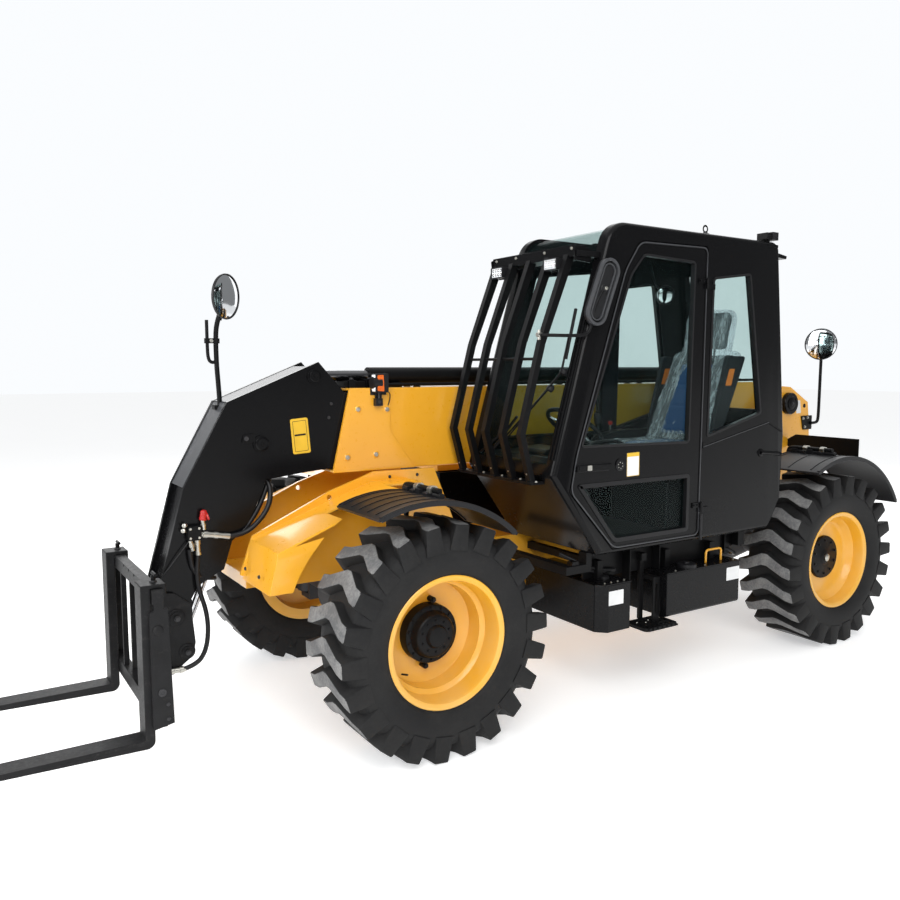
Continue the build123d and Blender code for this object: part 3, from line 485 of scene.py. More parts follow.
view = {"place": (3691.5, 4317.3, 1920.5), "yaw": -122.63, "pitch": -5.78, "lens": 33.03}
yaw, pitch = math.radians(view["yaw"]), math.radians(view["pitch"])
looking = Vector((math.cos(yaw) * math.cos(pitch), math.sin(yaw) * math.cos(pitch),
                  math.sin(pitch)))
lens = bpy.data.cameras.new("viewCamera")
lens.lens = view["lens"]
lens.sensor_width = 36
camera = addObject("viewCamera", lens)
camera.location = at(*view["place"])
camera.rotation_mode = "QUATERNION"
camera.rotation_quaternion = looking.to_track_quat("-Z", "Y")
bpy.context.scene.camera = camera

floorMesh = bpy.data.meshes.new("floor")
bm = bmesh.new()
bmesh.ops.create_grid(bm, x_segments=1, y_segments=1, size=60)
bm.to_mesh(floorMesh)
bm.free()
floor = addObject("floor", floorMesh)
paleFloor = Finish("paleFloor", roughness=0.8, specular_ior_level=0.1,
                   emission_color=(0.97, 0.98, 1.0, 1),
                   emission_strength=0.42)
paleFloor.set("Base Color", paleFloor.tint(paleFloor.noise(0.8), (0.86, 0.86, 0.85),
                                           (0.90, 0.90, 0.89)))
floorMesh.materials.append(paleFloor.material)

world = bpy.data.worlds.new("studio")
bpy.context.scene.world = world
world.use_nodes = True
studio = {"seen": 1.0, "lit": 0.26, "shade": (0.96, 0.98, 1.0)}
skyTree = world.node_tree
backdrop = skyTree.nodes["Background"]
backdrop.inputs[0].default_value = (*studio["shade"], 1)
# the backdrop is seen brighter than it lights, so black paint keeps its depth
straight = skyTree.nodes.new("ShaderNodeLightPath")
strength = skyTree.nodes.new("ShaderNodeMapRange")
strength.inputs["To Min"].default_value = studio["lit"]
strength.inputs["To Max"].default_value = studio["seen"]
skyTree.links.new(straight.outputs["Is Camera Ray"], strength.inputs["Value"])
skyTree.links.new(strength.outputs[0], backdrop.inputs[1])
lights = [
    # name, place, aimed at, width, watts
    ("key", (4800, 6800, 6000), (300, 300, 900), 6.0, 610),
    ("front", (8500, -500, 3800), (1500, 0, 1000), 5.0, 330),
    ("back", (-6500, -6200, 5600), (-500, 0, 1000), 9.0, 300),
    ("right", (500, -8500, 4500), (0, 0, 1000), 6.0, 300),
]
for name, place, aim, size, watts in lights:
    lamp = bpy.data.lights.new(name, "AREA")
    lamp.size = size
    lamp.energy = watts
    light = addObject(name, lamp)
    light.location = at(*place)
    light.rotation_mode = "QUATERNION"
    light.rotation_quaternion = (at(*aim) - at(*place)).to_track_quat("-Z", "Y")
# a wide soft light from straight above keeps the far floor as pale as the near floor
overhead = bpy.data.lights.new("overhead", "SUN")
overhead.energy = 1.1
overhead.angle = 1.6
addObject("overhead", overhead)
bpy.context.scene.view_settings.view_transform = "Standard"
print("stage set")

nodeFinish = {
    "yellow_paint": "yellow", "black_paint": "black", "grey_iron": "iron", "clear_glass": "glass",
    "seat_fabric": "blue", "black_plastic": "plastic", "bright_rod": "chrome",
    "tyre_rubber": "rubber",
}
for node, obj in nodes.items():
    obj.data.materials.clear()
    obj.data.materials.append(finishes[nodeFinish[slotOf[node]]])

plates = [
    # node, finish, rounding
    ("frame_sides", "yellow", 4), ("frame_crossmembers", "yellow", 3), ("tail_weight", "satin", 8),
    ("outer_boom", "yellow", 4), ("inner_boom", "satin", 4), ("boom_head", "black", 4),
    ("fork_carriage", "steel", 3), ("forks", "steel", 5), ("engine_pod", "black", 6),
    ("engine_hood", "yellow", 8),
    ("fuel_tank", "black", 4), ("battery_box", "black", 5), ("cab_step", "satin", 2),
    ("cab_mounts", "satin", 3),
    ("cab_shell", "black", 5), ("door_frame", "black", 4), ("dashboard", "plastic", 8),
    ("windscreen_guard", "satin", 2.5), ("seat_base", "plastic", 8), ("lamp_board", "satin", 3),
    ("rear_axle", "iron", 4), ("front_axle", "iron", 4), ("work_lamps", "plastic", 4),
    ("boom_lamp", "plastic", 4),
    ("lift_barrel", "satin", 3), ("tilt_barrel", "satin", 3), ("extension_barrel", "satin", 2),
]
for corner in ("front_left", "front_right", "rear_left", "rear_right"):
    plates.append((f"mudguard_{corner}", "plastic", 4))
    plates.append((f"knuckle_{corner}", "iron", 3))
for node, finish, rounding in plates:
    eased(node, finish, rounding)
print("plates eased")

tyreForm = {
    "radius": 587.5, "half": 205, "rows": 22, "lugHalf": 39, "sweep": 34, "foot": 455,
    "carcass": [(-171, 322), (-171, 338), (-178, 343), (-182, 352), (-190, 372), (-197, 405),
                (-199, 440),
                (-195, 470), (-187, 494), (-172, 516), (-148, 531), (-90, 537), (0, 539)],
}
hubY, axleZ = 870, tyreForm["radius"]
wheelPlaces = {
    # corner: axle x, side, end
    "front_left": (1600, 1, "front"), "front_right": (1600, -1, "front"),
    "rear_left": (-1600, 1, "rear"), "rear_right": (-1600, -1, "rear"),
}


# one lug: a chevron grown out of the carcass, its foot wider than its top
def addLug(bm, form):
    half, sweep, low, high = form["lugHalf"], form["sweep"], form["foot"], form["radius"]
    edge = form["half"] - 1
    plan = [(sweep - half, -edge), (sweep + half, -edge), (sweep + half - 10, -edge + 62),
            (half - sweep + 4, -20),
            (half - sweep + 4, 20), (sweep + half - 10, edge - 62), (sweep + half, edge),
            (sweep - half, edge),
            (sweep - half - 10, edge - 62), (-sweep - half, 20), (-sweep - half, -20),
            (sweep - half - 10, -edge + 62)]
    verts = [bm.verts.new((x / 1000, y / 1000, low / 1000)) for x, y in plan]
    face = bm.faces.new(verts)
    grown = bmesh.ops.extrude_face_region(bm, geom=[face])["geom"]
    top = [g for g in grown if isinstance(g, bmesh.types.BMVert)]
    for v in top:
        v.co.z = math.sqrt(high ** 2 - (v.co.x * 1000) ** 2) / 1000
    # the foot spreads along the tread and the shoulder leans in
    for v in verts:
        middle = sweep * min(1, abs(v.co.y) * 1000 / edge) * 2 - sweep
        v.co.x = (middle + (v.co.x * 1000 - middle) * 1.34) / 1000
        v.co.y *= 0.985
    bmesh.ops.recalc_face_normals(bm, faces=once(f for v in verts + top for f in v.link_faces))
    crest = [f for f in bm.faces if all(v in set(top) for v in f.verts)]
    rim = once(e for f in crest for e in f.edges)
    corner = [e for e in once(e for v in top for e in v.link_edges)
              if abs(e.verts[0].co.z - e.verts[1].co.z) > 0.05 and abs(e.verts[0].co.y) > 0.19]
    bmesh.ops.bevel(bm, geom=rim + corner, offset=0.008, segments=2, profile=0.5, affect="EDGES",
                    material=-1, clamp_overlap=True)
    bm.normal_update()
    for f in bm.faces:
        f.material_index = 1 if f.normal.z > 0.90 and f.calc_center_median().z > 0.56 else 0


lugMesh = bpy.data.meshes.new("lug")
lugMesh.materials.append(finishes["rubber"])
lugMesh.materials.append(finishes["tread"])
bm = bmesh.new()
addLug(bm, tyreForm)
bm.to_mesh(lugMesh)
bm.free()


def makeTyre(corner):
    form = tyreForm
    x, side, end = wheelPlaces[corner]
    bm = bmesh.new()
    profile = form["carcass"] + [(-y, r) for y, r in form["carcass"][-2::-1]]
    verts = [bm.verts.new((0, y / 1000, r / 1000)) for y, r in profile]
    edges = [bm.edges.new(pair) for pair in zip(verts, verts[1:])]
    bmesh.ops.spin(bm, geom=verts + edges, angle=math.tau, steps=110, axis=(0, 1, 0),
                   use_merge=True)
    bmesh.ops.remove_doubles(bm, verts=bm.verts, dist=0.00001)
    bmesh.ops.recalc_face_normals(bm, faces=bm.faces)
    outward = sum(f.normal.dot(f.calc_center_median()) for f in bm.faces)
    if outward < 0:
        bmesh.ops.reverse_faces(bm, faces=bm.faces)
    turn = math.atan((form["sweep"] + form["lugHalf"]) / form["radius"])
    for i in range(form["rows"]):
        before = set(bm.verts)
        bm.from_mesh(lugMesh)
        fresh = [v for v in bm.verts if v not in before]
        bmesh.ops.rotate(bm, cent=(0, 0, 0),
                         matrix=Matrix.Rotation(math.tau * i / form["rows"] + turn, 3, "Y"),
                         verts=fresh)
    if side < 0:
        bmesh.ops.scale(bm, vec=(1, -1, 1), verts=bm.verts)
        bmesh.ops.reverse_faces(bm, faces=bm.faces)
    bmesh.ops.translate(bm, vec=at(x, side * hubY, axleZ), verts=bm.verts)
    return finishPiece(f"tyre_{corner}_tread", bm, f"wheel_{corner}", ["rubber", "tread"], 0, 2,
                       [f"tyre_{corner}"], 40)


rimForms = {
    # outer skin from the inboard edge to the hub, as (across, radius)
    "front": {
        "shell": [(-175, 326), (-172, 333), (-163, 333), (-160, 305), (160, 305), (161, 331),
                  (166, 334), (172, 333),
                  (175, 329), (174, 317), (166, 304), (152, 299), (60, 291), (52, 284), (44, 268),
                  (-40, 262),
                  (-46, 262), (-50, 256), (-50, 140), (-68, 140), (-68, 255), (-168, 268),
                  (-175, 326)],
        "hub": [(-80, 60), (-80, 150), (2, 150), (10, 147), (12, 142), (12, 122), (16, 118),
                (44, 112), (52, 106),
                (56, 96), (58, 60), (66, 56), (74, 50), (76, 40), (76, 0)],
        "bolts": (14, 134, 12, 9), "inner": (10, 80, 57, 7),
    },
    "rear": {
        "shell": [(-175, 326), (-172, 333), (-163, 333), (-160, 305), (160, 305), (161, 331),
                  (166, 334), (172, 333),
                  (175, 329), (174, 317), (166, 304), (152, 299), (98, 293), (84, 280), (62, 268),
                  (48, 252),
                  (45, 240), (45, 120), (27, 120), (27, 250), (-168, 272), (-175, 326)],
        "hub": [(-80, 60), (-80, 150), (58, 150), (66, 146), (68, 140), (68, 60), (74, 50),
                (80, 40), (80, 0)],
        "bolts": (10, 118, 68, 10), "inner": (0, 0, 0, 0),
    },
}


def makeRim(corner):
    x, side, end = wheelPlaces[corner]
    form = rimForms[end]
    place = (x, side * hubY, axleZ)
    kit = Kit(f"rim_{corner}_dish", f"wheel_{corner}", ["rimYellow", "satin", "zinc", "plastic"], 0,
              2,
              "yellow_paint", [f"rim_{corner}"])
    kit.lathe(form["shell"], place, (0, side, 0), "rimYellow", 96)
    kit.lathe(form["hub"], place, (0, side, 0), "satin", 64)
    for count, radius, face, size in (form["bolts"], form["inner"]):
        for i in range(count):
            a = math.tau * (i + 0.5) / count
            kit.bolt((x + radius * math.cos(a), side * (hubY + face), axleZ + radius * math.sin(a)),
                     (0, side, 0),
                     size, "satin")
    if end == "front":
        for i in (0, 1):
            a = math.radians(82 + 180 * i)
            spot = (x - side * 168 * math.cos(a), axleZ + 168 * math.sin(a))
            kit.rod((spot[0], side * 818, spot[1]), (spot[0], side * 862, spot[1]), 15, "satin", 20)
            kit.rod((spot[0], side * 862, spot[1]), (spot[0], side * hubY, spot[1]), 11, "satin", 6)
    else:
        kit.lathe([(80, 26), (88, 26), (92, 20), (92, 0)], place, (0, side, 0), "zinc", 32)
    # valve stem through the well
    a = math.radians(-38)
    kit.rod((x + 250 * math.cos(a), side * 925, axleZ + 250 * math.sin(a)),
            (x + 238 * math.cos(a), side * 965, axleZ + 238 * math.sin(a)), 5, "plastic", 10)
    return kit.done()


for corner in wheelPlaces:
    makeTyre(corner)
    makeRim(corner)
print("wheels made")

# fittings on the boom's head: bosses, a blank label, the quick couplings and their hoses
headParts = {
    "face": 133, "tiltPin": (2192, 1515), "topPin": (1887, 1868), "coupling": (2565, 1083),
    "label": [(2032, 1638), (1931, 1646), (1914, 1454), (2016, 1448)],
}
kit = Kit("head_fittings", "inner",
          ["black", "label", "zinc", "red", "trim", "satin", "iron", "grey"], 0.8)
face = headParts["face"]
# grey strips between the two sides, along the top and down the front: painted highlight along the
# black head's top and front edges
for start, end in (((1915, 1923), (2366, 1739.5)), ((2372, 1734), (2603, 1311))):
    run = Vector((end[0] - start[0], end[1] - start[1])).normalized()
    kit.shape("xz", [(x + run.y * deep, z - run.x * deep)
                     for (x, z), deep in ((start, 2), (end, 2), (end, 8), (start, 8))], -108, 108,
              "grey")
for side in (1, -1):
    for (x, z), reach in ((headParts["tiltPin"], 40), (headParts["topPin"], 34)):
        kit.lathe([(8, reach), (15, reach - 2), (17, reach - 8), (17, 22), (21, 20), (21, 0)],
                  (x, side * face, z), (0, side, 0), "black", 32)
        kit.bolt((x, side * (face + 20), z), (0, side, 0), 11, "satin")
    kit.shape("xz", [(2226, 1572), (2292, 1566), (2300, 1520), (2232, 1524)],
              *between(side, face, face + 9),
              "black", 12)
    kit.bolt((2276, side * (face + 9), 1546), (0, side, 0), 12, "iron")
    kit.bolt((1805, side * (face + 1), 1640), (0, side, 0), 9, "iron")
    kit.bolt((1790, side * (face + 1), 1716), (0, side, 0), 9, "iron")
kit.shape("xz", headParts["label"], face + 0.2, face + 1.2, "label", 10)
kit.shape("xz", [(2019, 1626), (1941, 1632), (1927, 1466), (2004, 1460)], face + 1.0, face + 1.6,
          "trim", 6, 2.4)
kit.shape("xz", [(2007, 1555), (1943, 1560), (1942, 1550), (2006, 1545)], face + 1.0, face + 1.6,
          "trim", 2)
x, z = headParts["coupling"]
kit.box((x - 34, face + 2, z - 36), (x + 34, face + 44, z + 36), "satin")
for dx, dz in ((-22, 24), (22, 24), (-22, -24), (22, -24)):
    kit.bolt((x + dx, face + 44, z + dz), (0, 1, 0), 6, "zinc")
for dx, dz in ((46, 43), (52, 17)):
    kit.lathe([(-14, 8), (-6, 8), (-6, 13), (6, 13), (12, 10), (14, 6), (14, 0)],
              (x + dx, face + 30, z + dz),
              (0.5, 0.86, 0.1), "zinc", 24)
# upper fitting with its red dust cap
kit.lathe([(0, 11), (18, 11), (18, 15), (30, 15), (30, 12), (62, 12)], (x - 51, face + 24, z + 12),
          (0.12, 0, 1), "zinc", 24)
kit.lathe([(0, 12), (2, 18), (14, 19), (16, 17), (44, 17), (50, 14), (54, 8), (54, 0)],
          (x - 46, face + 24, z + 60),
          (-0.12, 0.1, 1), "red", 28)
kit.lathe(rect(0, 19, 10, 13), (x - 66, face + 26, z + 76), (-1, 0.2, 0.3), "red", 24)
start, end = Vector((2540, 153, 1075)), Vector((2380, 153, 1045))
along = (end - start).normalized()
kit.lathe([(0, 15), (20, 15), (20, 19), (44, 19), (44, 15.5), (78, 15.5), (78, 18), (98, 18),
           (98, 14.5), (132, 14.5),
           (132, 16), (160, 16), (162, 13)], tuple(start), tuple(along), "zinc", 24)
kit.lathe([(0, 14), (16, 14), (16, 18), (38, 18), (38, 14), (78, 14), (78, 17), (92, 17)],
          (2550, 153, 1060),
          (-0.05, 0, -1), "zinc", 24)
kit.lathe([(0, 11), (24, 11), (24, 14), (40, 14), (40, 10), (60, 10)], (2586, 160, 1052),
          (-0.2, 0.1, -1), "zinc", 20)
kit.done()

tube("head_hoses", "inner", "trim", [
    [(2382, 153, 1046), (2330, 155, 1046), (2254, 162, 1080), (2160, 150, 1180), (2135, 100, 1290),
     (2180, 70, 1340),
     (2330, 60, 1300)],
    [(2120, 60, 1350), (2150, 96, 1290), (2230, 118, 1130), (2300, 122, 1060)],
], 14)
tube("head_cable", "inner", "plastic",
     [(2592, 158, 1040), (2640, 160, 985), (2700, 148, 905), (2718, 132, 880)], 3)
tube("head_drop_hose", "inner", "trim",
     [(2588, 158, 1000), (2586, 156, 930), (2556, 140, 865), (2500, 104, 828),
                                         (2440, 70, 815)], 12)
# the outer hose reaches the tilting carriage; its curve is made a plain mesh
hose = tube("tilt_hose_run", "inner", "trim",
            [(2547, 153, 975), (2558, 160, 880), (2550, 170, 780), (2520, 176, 680),
                                           (2512, 178, 574), (2528, 178, 470), (2575, 176, 405),
             (2645, 172, 392)], 12)
kept = bpy.data.meshes.new_from_object(hose.evaluated_get(bpy.context.evaluated_depsgraph_get()))
bpy.data.objects.remove(hose)
hose = addObject("tilt_hose", kept)
at(2550, 170, 790)
at(2580, 176, 420)
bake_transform(hose)
print("head fitted")

# the boom's end: doubler plates and adjusters, then the pipes along the top
boomParts = {
    "face": 155, "doubler": [(1796, 1334), (1689, 1801), (1430, 1799), (1440, 1560), (1275, 1334)],
    "adjusters": [(1642, 1682), (1459, 1678), (1710, 1416), (1532, 1424)], "thick": 9.2,
}
kit = Kit("boom_doublers", "boom", ["yellow", "zinc", "iron"], 2.2, 2)
face, thick = boomParts["face"], boomParts["thick"]
for side in (1, -1):
    kit.shape("xz", boomParts["doubler"], *between(side, face - 1, face + thick), "yellow")
    for x, z in boomParts["adjusters"]:
        kit.lathe([(0, 21), (3, 20), (5, 16), (5, 0)], (x, side * (face + thick - 1), z),
                  (0, side, 0), "yellow", 24)
        kit.bolt((x, side * (face + thick + 3), z), (0, side, 0), 13, "zinc")
kit.done()
kit = Kit("boom_joints", "boom", ["black", "satin", "zinc", "iron"], 1.5)
kit.box((1500, -96, 1801), (1690, 96, 1838), "satin")
kit.box((1515, -112, 1801), (1560, 112, 1850), "black")
kit.box((1625, -112, 1801), (1670, 112, 1844), "black")
for x in (1537, 1647):
    for y in (-95, 95):
        kit.bolt((x, y, 1848), (0, 0, 1), 12, "iron")
for x in (-1250, -640, 0, 640, 1200):
    kit.box((x - 18, -72, 1799), (x + 18, -48, 1822), "satin")
    kit.box((x - 18, 48, 1799), (x + 18, 72, 1822), "satin")
for side in (1, -1):
    kit.lathe([(30, 50), (36, 48), (38, 34), (44, 32), (44, 0)], (450, side * 58, 1200),
              (0, side, 0), "black", 36)
    kit.bolt((450, side * 100, 1200), (0, side, 0), 12, "iron")
kit.done()
tube("boom_pipes", "boom", "satin",
     [[(x, y, 1815) for x in (-1900, -1200, 300, 1480)] for y in (62, -62)],
     10, smooth=False)

# round head lamp: two white lenses forward and an orange flasher at the side
lampParts = {"low": (1478, 170, 1776), "high": (1557, 216, 1879)}
kit = Kit("boom_lamp_box", "boom", ["plastic", "lens", "orange", "chrome", "iron"], 2.5, 2,
          "black_plastic", ["boom_lamp"])
(x0, y0, z0), (x1, y1, z1) = lampParts["low"], lampParts["high"]
kit.shape("yz", [(y0, z0 + 6), (y0 + 4, z0), (y1 - 4, z0), (y1, z0 + 8), (y1, z1 - 8), (y1 - 5, z1),
                 (y0 + 5, z1),
                 (y0, z1 - 6)], x0, x1 - 6, "plastic")
kit.shape("yz", rect(y0, z0, y1, z1), x1 - 8, x1, "plastic", 8, 4)
for z in (z0 + 27, z1 - 27):
    kit.lathe([(-4, 20), (3, 21), (7, 17), (9, 9), (10, 0)], (x1 - 1, (y0 + y1) / 2, z), (1, 0, 0),
              "lens", 28)
kit.box((x1 - 6, y0 + 4, z0 + 5), (x1 + 1, y1 - 4, z1 - 5), "lens")
kit.shape("xz", [(x0 + 26, z0 + 5), (x1 - 12, z0 + 8), (x1 - 12, z1 - 8), (x0 + 30, z1 - 5)],
          y1 - 3, y1 + 5, "orange", 5)
for i in range(9):
    z = z0 + 15 + i * 9
    kit.box((x0 + 31, y1 + 3, z), (x1 - 16, y1 + 6.5, z + 3), "orange")
kit.shape("xz", [(1498, 1740), (1536, 1744), (1540, 1790), (1494, 1790)], 164, 176, "plastic")
kit.box((1500, 164, 1700), (1545, 196, 1742), "plastic")
kit.bolt((1522, 196, 1722), (0, 1, 0), 9, "iron")
kit.rod((1520, 186, 1735), (1520, 186, 1780), 7, "iron")
kit.done()
tube("boom_lamp_lead", "boom", "plastic",
     [(1490, 190, 1790), (1452, 186, 1780), (1440, 172, 1740), (1452, 165, 1700)], 3)
print("boom fitted")

# round mirrors on bent poles; the glass bulges a little
def mirrorHead(kit, place, facing, radius):
    kit.lathe([(-24, 0), (-24, radius * 0.35), (-18, radius * 0.75), (-6, radius * 0.97),
               (4, radius), (9, radius - 1),
               (9, radius - 6), (5, radius - 7)], place, facing, "plastic", 56)
    kit.lathe([(4, radius - 6), (9, radius * 0.8), (12, radius * 0.5), (13.5, radius * 0.22),
               (14, 0)],
              place, facing, "mirror", 56)


kit = Kit("front_mirror_glass", "inner", ["plastic", "mirror", "satin", "zinc"], 0, 2,
          "black_paint", ["front_mirror"])
mirrorHead(kit, (2335, 42, 2280), (-0.62, 0.78, -0.05), 118)
kit.rod((2352, 26, 2215), (2362, 16, 2160), 12, "satin")
kit.box((2362, -12, 2040), (2436, 12, 2066), "satin")
kit.bolt((2405, 12, 2053), (0, 1, 0), 9, "zinc")
kit.box((2352, -24, 1696), (2402, 24, 1720), "satin")
kit.done()
tube("front_mirror_pole", "inner", "satin",
     [(2366, 0, 1706), (2368, 0, 1760), (2372, 0, 1838), (2378, 0, 1930),
                                             (2379, 0, 2080), (2372, 6, 2150), (2356, 22, 2205)],
     13)
tube("front_mirror_grip", "inner", "satin",
     [(2384, 0, 1944), (2404, 0, 1938), (2422, 0, 1960), (2424, 0, 2040),
                                             (2424, 0, 2160)], 9)
kit = Kit("rear_mirror_glass", "chassis", ["plastic", "mirror", "satin", "zinc"], 0, 2,
          "black_paint", ["rear_mirror"])
mirrorHead(kit, (-2488, 252, 2100), (0.95, 0.30, -0.03), 127)
kit.shape("xz", [(-2290, 1522), (-2318, 1410), (-2430, 1412), (-2430, 1525)], 230.5, 238, "satin",
          8)
for x, z in ((-2312, 1502), (-2370, 1508), (-2337, 1434)):
    kit.bolt((x, 238, z), (0, 1, 0), 11, "zinc")
kit.done()
tube("rear_mirror_pole", "chassis", "satin",
     [(-2400, 246, 1462), (-2440, 246, 1462), (-2488, 246, 1468),
                                              (-2500, 247, 1500), (-2501, 248, 1620),
      (-2499, 250, 1900),
                                              (-2499, 251, 2060)], 12)
print("mirrors fitted")

# fork carriage: discs, pins and the forks' lock pins
kit = Kit("carriage_fittings", "carriage", ["satin", "iron", "zinc", "steel"], 1.2)
for side in (1, -1):
    out = (0, side, 0)
    kit.lathe([(0, 46), (5, 45), (7, 38), (7, 0)], (2667, side * 158, 660), out, "steel", 36)
    kit.bolt((2667, side * 182, 660), out, 15, "iron")
    kit.lathe([(0, 42), (5, 41), (7, 34), (7, 0)], (2618, side * 158, 477), out, "steel", 36)
    kit.bolt((2618, side * 182, 477), out, 14, "iron")
    kit.lathe([(0, 24), (5, 23), (7, 18), (7, 0)], (2834, side * 500, 718), out, "steel", 28)
    kit.lathe([(0, 19), (4, 18), (4, 9), (1, 9), (1, 0)], (2824, side * 500, 420), out, "iron", 24)
    for z in (290, 360):
        kit.bolt((2800, side * 500, z), out, 9, "iron")
    x, y = 2828, side * 410
    kit.rod((x, y, 905), (x, y, 958), 11, "satin")
    kit.rod((x - 4, y - 34, 962), (x - 4, y + 34, 962), 8, "satin")
    kit.lathe([(0, 17), (6, 17), (8, 13), (8, 0)], (x, y, 925), (0, 0, 1), "iron", 20)
for y in (-330, -120, 0, 120, 330):
    kit.box((2852, y - 7, 892), (2858, y + 7, 905), "steel")
kit.lathe([(0, 13), (10, 13), (10, 17), (30, 17), (30, 14), (60, 14), (60, 17), (76, 17), (76, 0)],
          (2632, 172, 392),
          (1, -0.06, 0), "zinc", 24)
kit.box((2690, 150, 376), (2716, 178, 410), "satin")
kit.done()
print("carriage fitted")

# cab: its side planes, and the outlines of the panes and the door's line
cabParts = {
    "left": 1000, "right": 195,
    "rearPane": [(-252, 1494), (-269, 2442), (-612, 2486), (-759, 1622)],
    "farPane": [(720, 1480), (440, 2480), (-120, 2540), (-120, 1480)],
    "upperPane": [(742, 1486), (-105, 1470), (-119, 2524), (300, 2540), (400, 2425)],
    "lowerPane": [(766, 1290), (-115, 1290), (-113, 945), (490, 945)],
    "doorLine": [(490, 912), (809, 1252), (772, 1444), (441, 2442), (333, 2601), (-216, 2609),
                 (-202, 912)],
}
screenParts = {"footX": 930, "footZ": 1340, "run": 340, "rise": 1195}


# places on the raked screen, or off it towards the front
def pillarAt(z, off):
    lean = (z - screenParts["footZ"]) * screenParts["run"] / screenParts["rise"]
    return screenParts["footX"] - lean + off, z


def screenAt(y, z, off):
    return pillarAt(z, off)[0], y, z


kit = Kit("cab_seals", "chassis", ["trim", "black", "satin", "grey"], 1)
left, right = cabParts["left"], cabParts["right"]
kit.shape("xz", cabParts["rearPane"], left - 26, left + 4, "trim", 27, 15)
for pane in ("rearPane", "farPane"):
    kit.shape("xz", cabParts[pane], right - 3, right + 26, "trim", 27, 13)
kit.shape("xz", [(498, 902), (822, 1250), (785, 1448), (452, 2448), (340, 2612), (-228, 2620),
                 (-214, 902)],
          left - 52, left - 43, "trim", 24, 16)
# a folded line under the rear side pane, a drain stub, and the ribbed front pillar
kit.shape("xz", [(-222, 1434), (-832, 1560), (-968, 1502), (-968, 1510), (-834, 1570),
                 (-222, 1444)], left - 1, left + 5, "black")
# the thin grey strip along the fold's top edge is a painted highlight
kit.shape("xz", [(-222, 1440), (-832, 1566), (-832, 1570), (-222, 1444)], left + 4, left + 5.6,
          "grey")
kit.shape("xz", [(-222, 1448), (-260, 1448), (-250, 1470), (-222, 1470)], left - 1, left + 3,
          "black")
kit.lathe([(0, 26), (5, 25), (7, 16), (7, 0)], (-765, left, 1378), (0, 1, 0), "black", 24)
kit.rod((-755, left + 9, 1380), (-940, left + 9, 1362), 12, "black", 18)
kit.rod((-938, left + 9, 1362), (-952, left + 9, 1361), 14, "satin", 18)
for y0, y1, off in ((938, 990, 7), (946, 956, 15), (972, 982, 15)):
    kit.shape("xz", [pillarAt(1430, off), pillarAt(2400, off), pillarAt(2400, -3),
                     pillarAt(1430, -3)], y0, y1, "black")
for z in (1500, 1680, 1860, 2040, 2220, 2380):
    x, z = pillarAt(z, 7)
    kit.bolt((x, 964, z), (0.96, 0, 0.27), 6, "satin")
# drip rail over the door and a lip at the back of the roof
kit.box((-860, left - 34, 2655), (-760, left + 2, 2672), "black")
kit.shape("xz", [(-1010, 2600), (-878, 2612), (-878, 2640), (-1016, 2620)], 240, 955, "black", 6)
kit.done()
kit = Kit("door_seals", "door",
          ["trim", "black", "plastic", "zinc", "blue", "satin", "white", "label", "grey"], 1)
# a thin grey ribbon along the door's line: painted highlight on the seal's edge
kit.shape("xz", cabParts["doorLine"], left + 4, left + 5.2, "grey", 40, 6)
kit.shape("xz", cabParts["upperPane"], left - 26, left + 4, "trim", 27, 13)
kit.shape("xz", cabParts["lowerPane"], left - 26, left + 5, "trim", 27, 24)
kit.shape("xz", cabParts["doorLine"], left - 1, left + 4.5, "trim", 40, 10)
kit.rod((-212, 1012, 885), (-212, 1012, 1040), 9, "plastic", 20)
# handle in its dish, round lock, and a blank card beside it
kit.shape("xz", [(528, 1352), (772, 1356), (768, 1400), (530, 1396)], left - 1, left + 3, "plastic",
          12)
kit.shape("xz", [(532, 1377), (700, 1368), (764, 1370), (764, 1392), (700, 1394), (532, 1389)],
          left + 12, left + 21,
          "satin", 5)
kit.rod((748, left, 1381), (748, left + 18, 1381), 13, "plastic", 20, 10)
kit.shape("xz", rect(676, 1364, 708, 1392), left + 19, left + 24, "zinc", 4)
kit.lathe([(0, 31), (5, 30), (7, 27), (7, 22), (5, 21), (5, 0)], (452, left, 1376), (0, 1, 0),
          "plastic", 36)
for i in range(6):
    a = math.radians(60 * i + 20)
    kit.rod((452 + 17 * math.cos(a), left + 4, 1376 + 17 * math.sin(a)),
            (452 + 17 * math.cos(a), left + 8, 1376 + 17 * math.sin(a)), 3.2, "zinc", 10)
card = [(398, 1440), (304, 1442), (302, 1310), (397, 1308)]
kit.shape("xz", card, left + 0.2, left + 1.2, "white", 4)
kit.shape("xz", [(398, 1440), (304, 1442), (303, 1420), (398, 1418)], left + 1, left + 1.6, "label",
          2)
kit.shape("xz", card, left + 1, left + 1.7, "label", 4, 2.5)
# the hinges' bolts and the gas spring behind the lower pane
for z in (1100, 2420):
    for dx in (30, 56):
        kit.bolt((-212 + dx, left + 8, z - 4), (0, 1, 0), 7, "satin")
kit.done()
tube("door_inner_rail", "door", "blue", [(545, 950, 1075), (520, 948, 1000), (470, 948, 950)], 9)
tube("door_spring", "door", "zinc", [(470, 948, 962), (440, 948, 930)], 8, smooth=False)
tube("door_grab", "door", "plastic",
     [(640, 950, 1465), (600, 925, 1500), (480, 920, 1505), (380, 925, 1500),
                                      (350, 950, 1465)], 12)
print("door fitted")

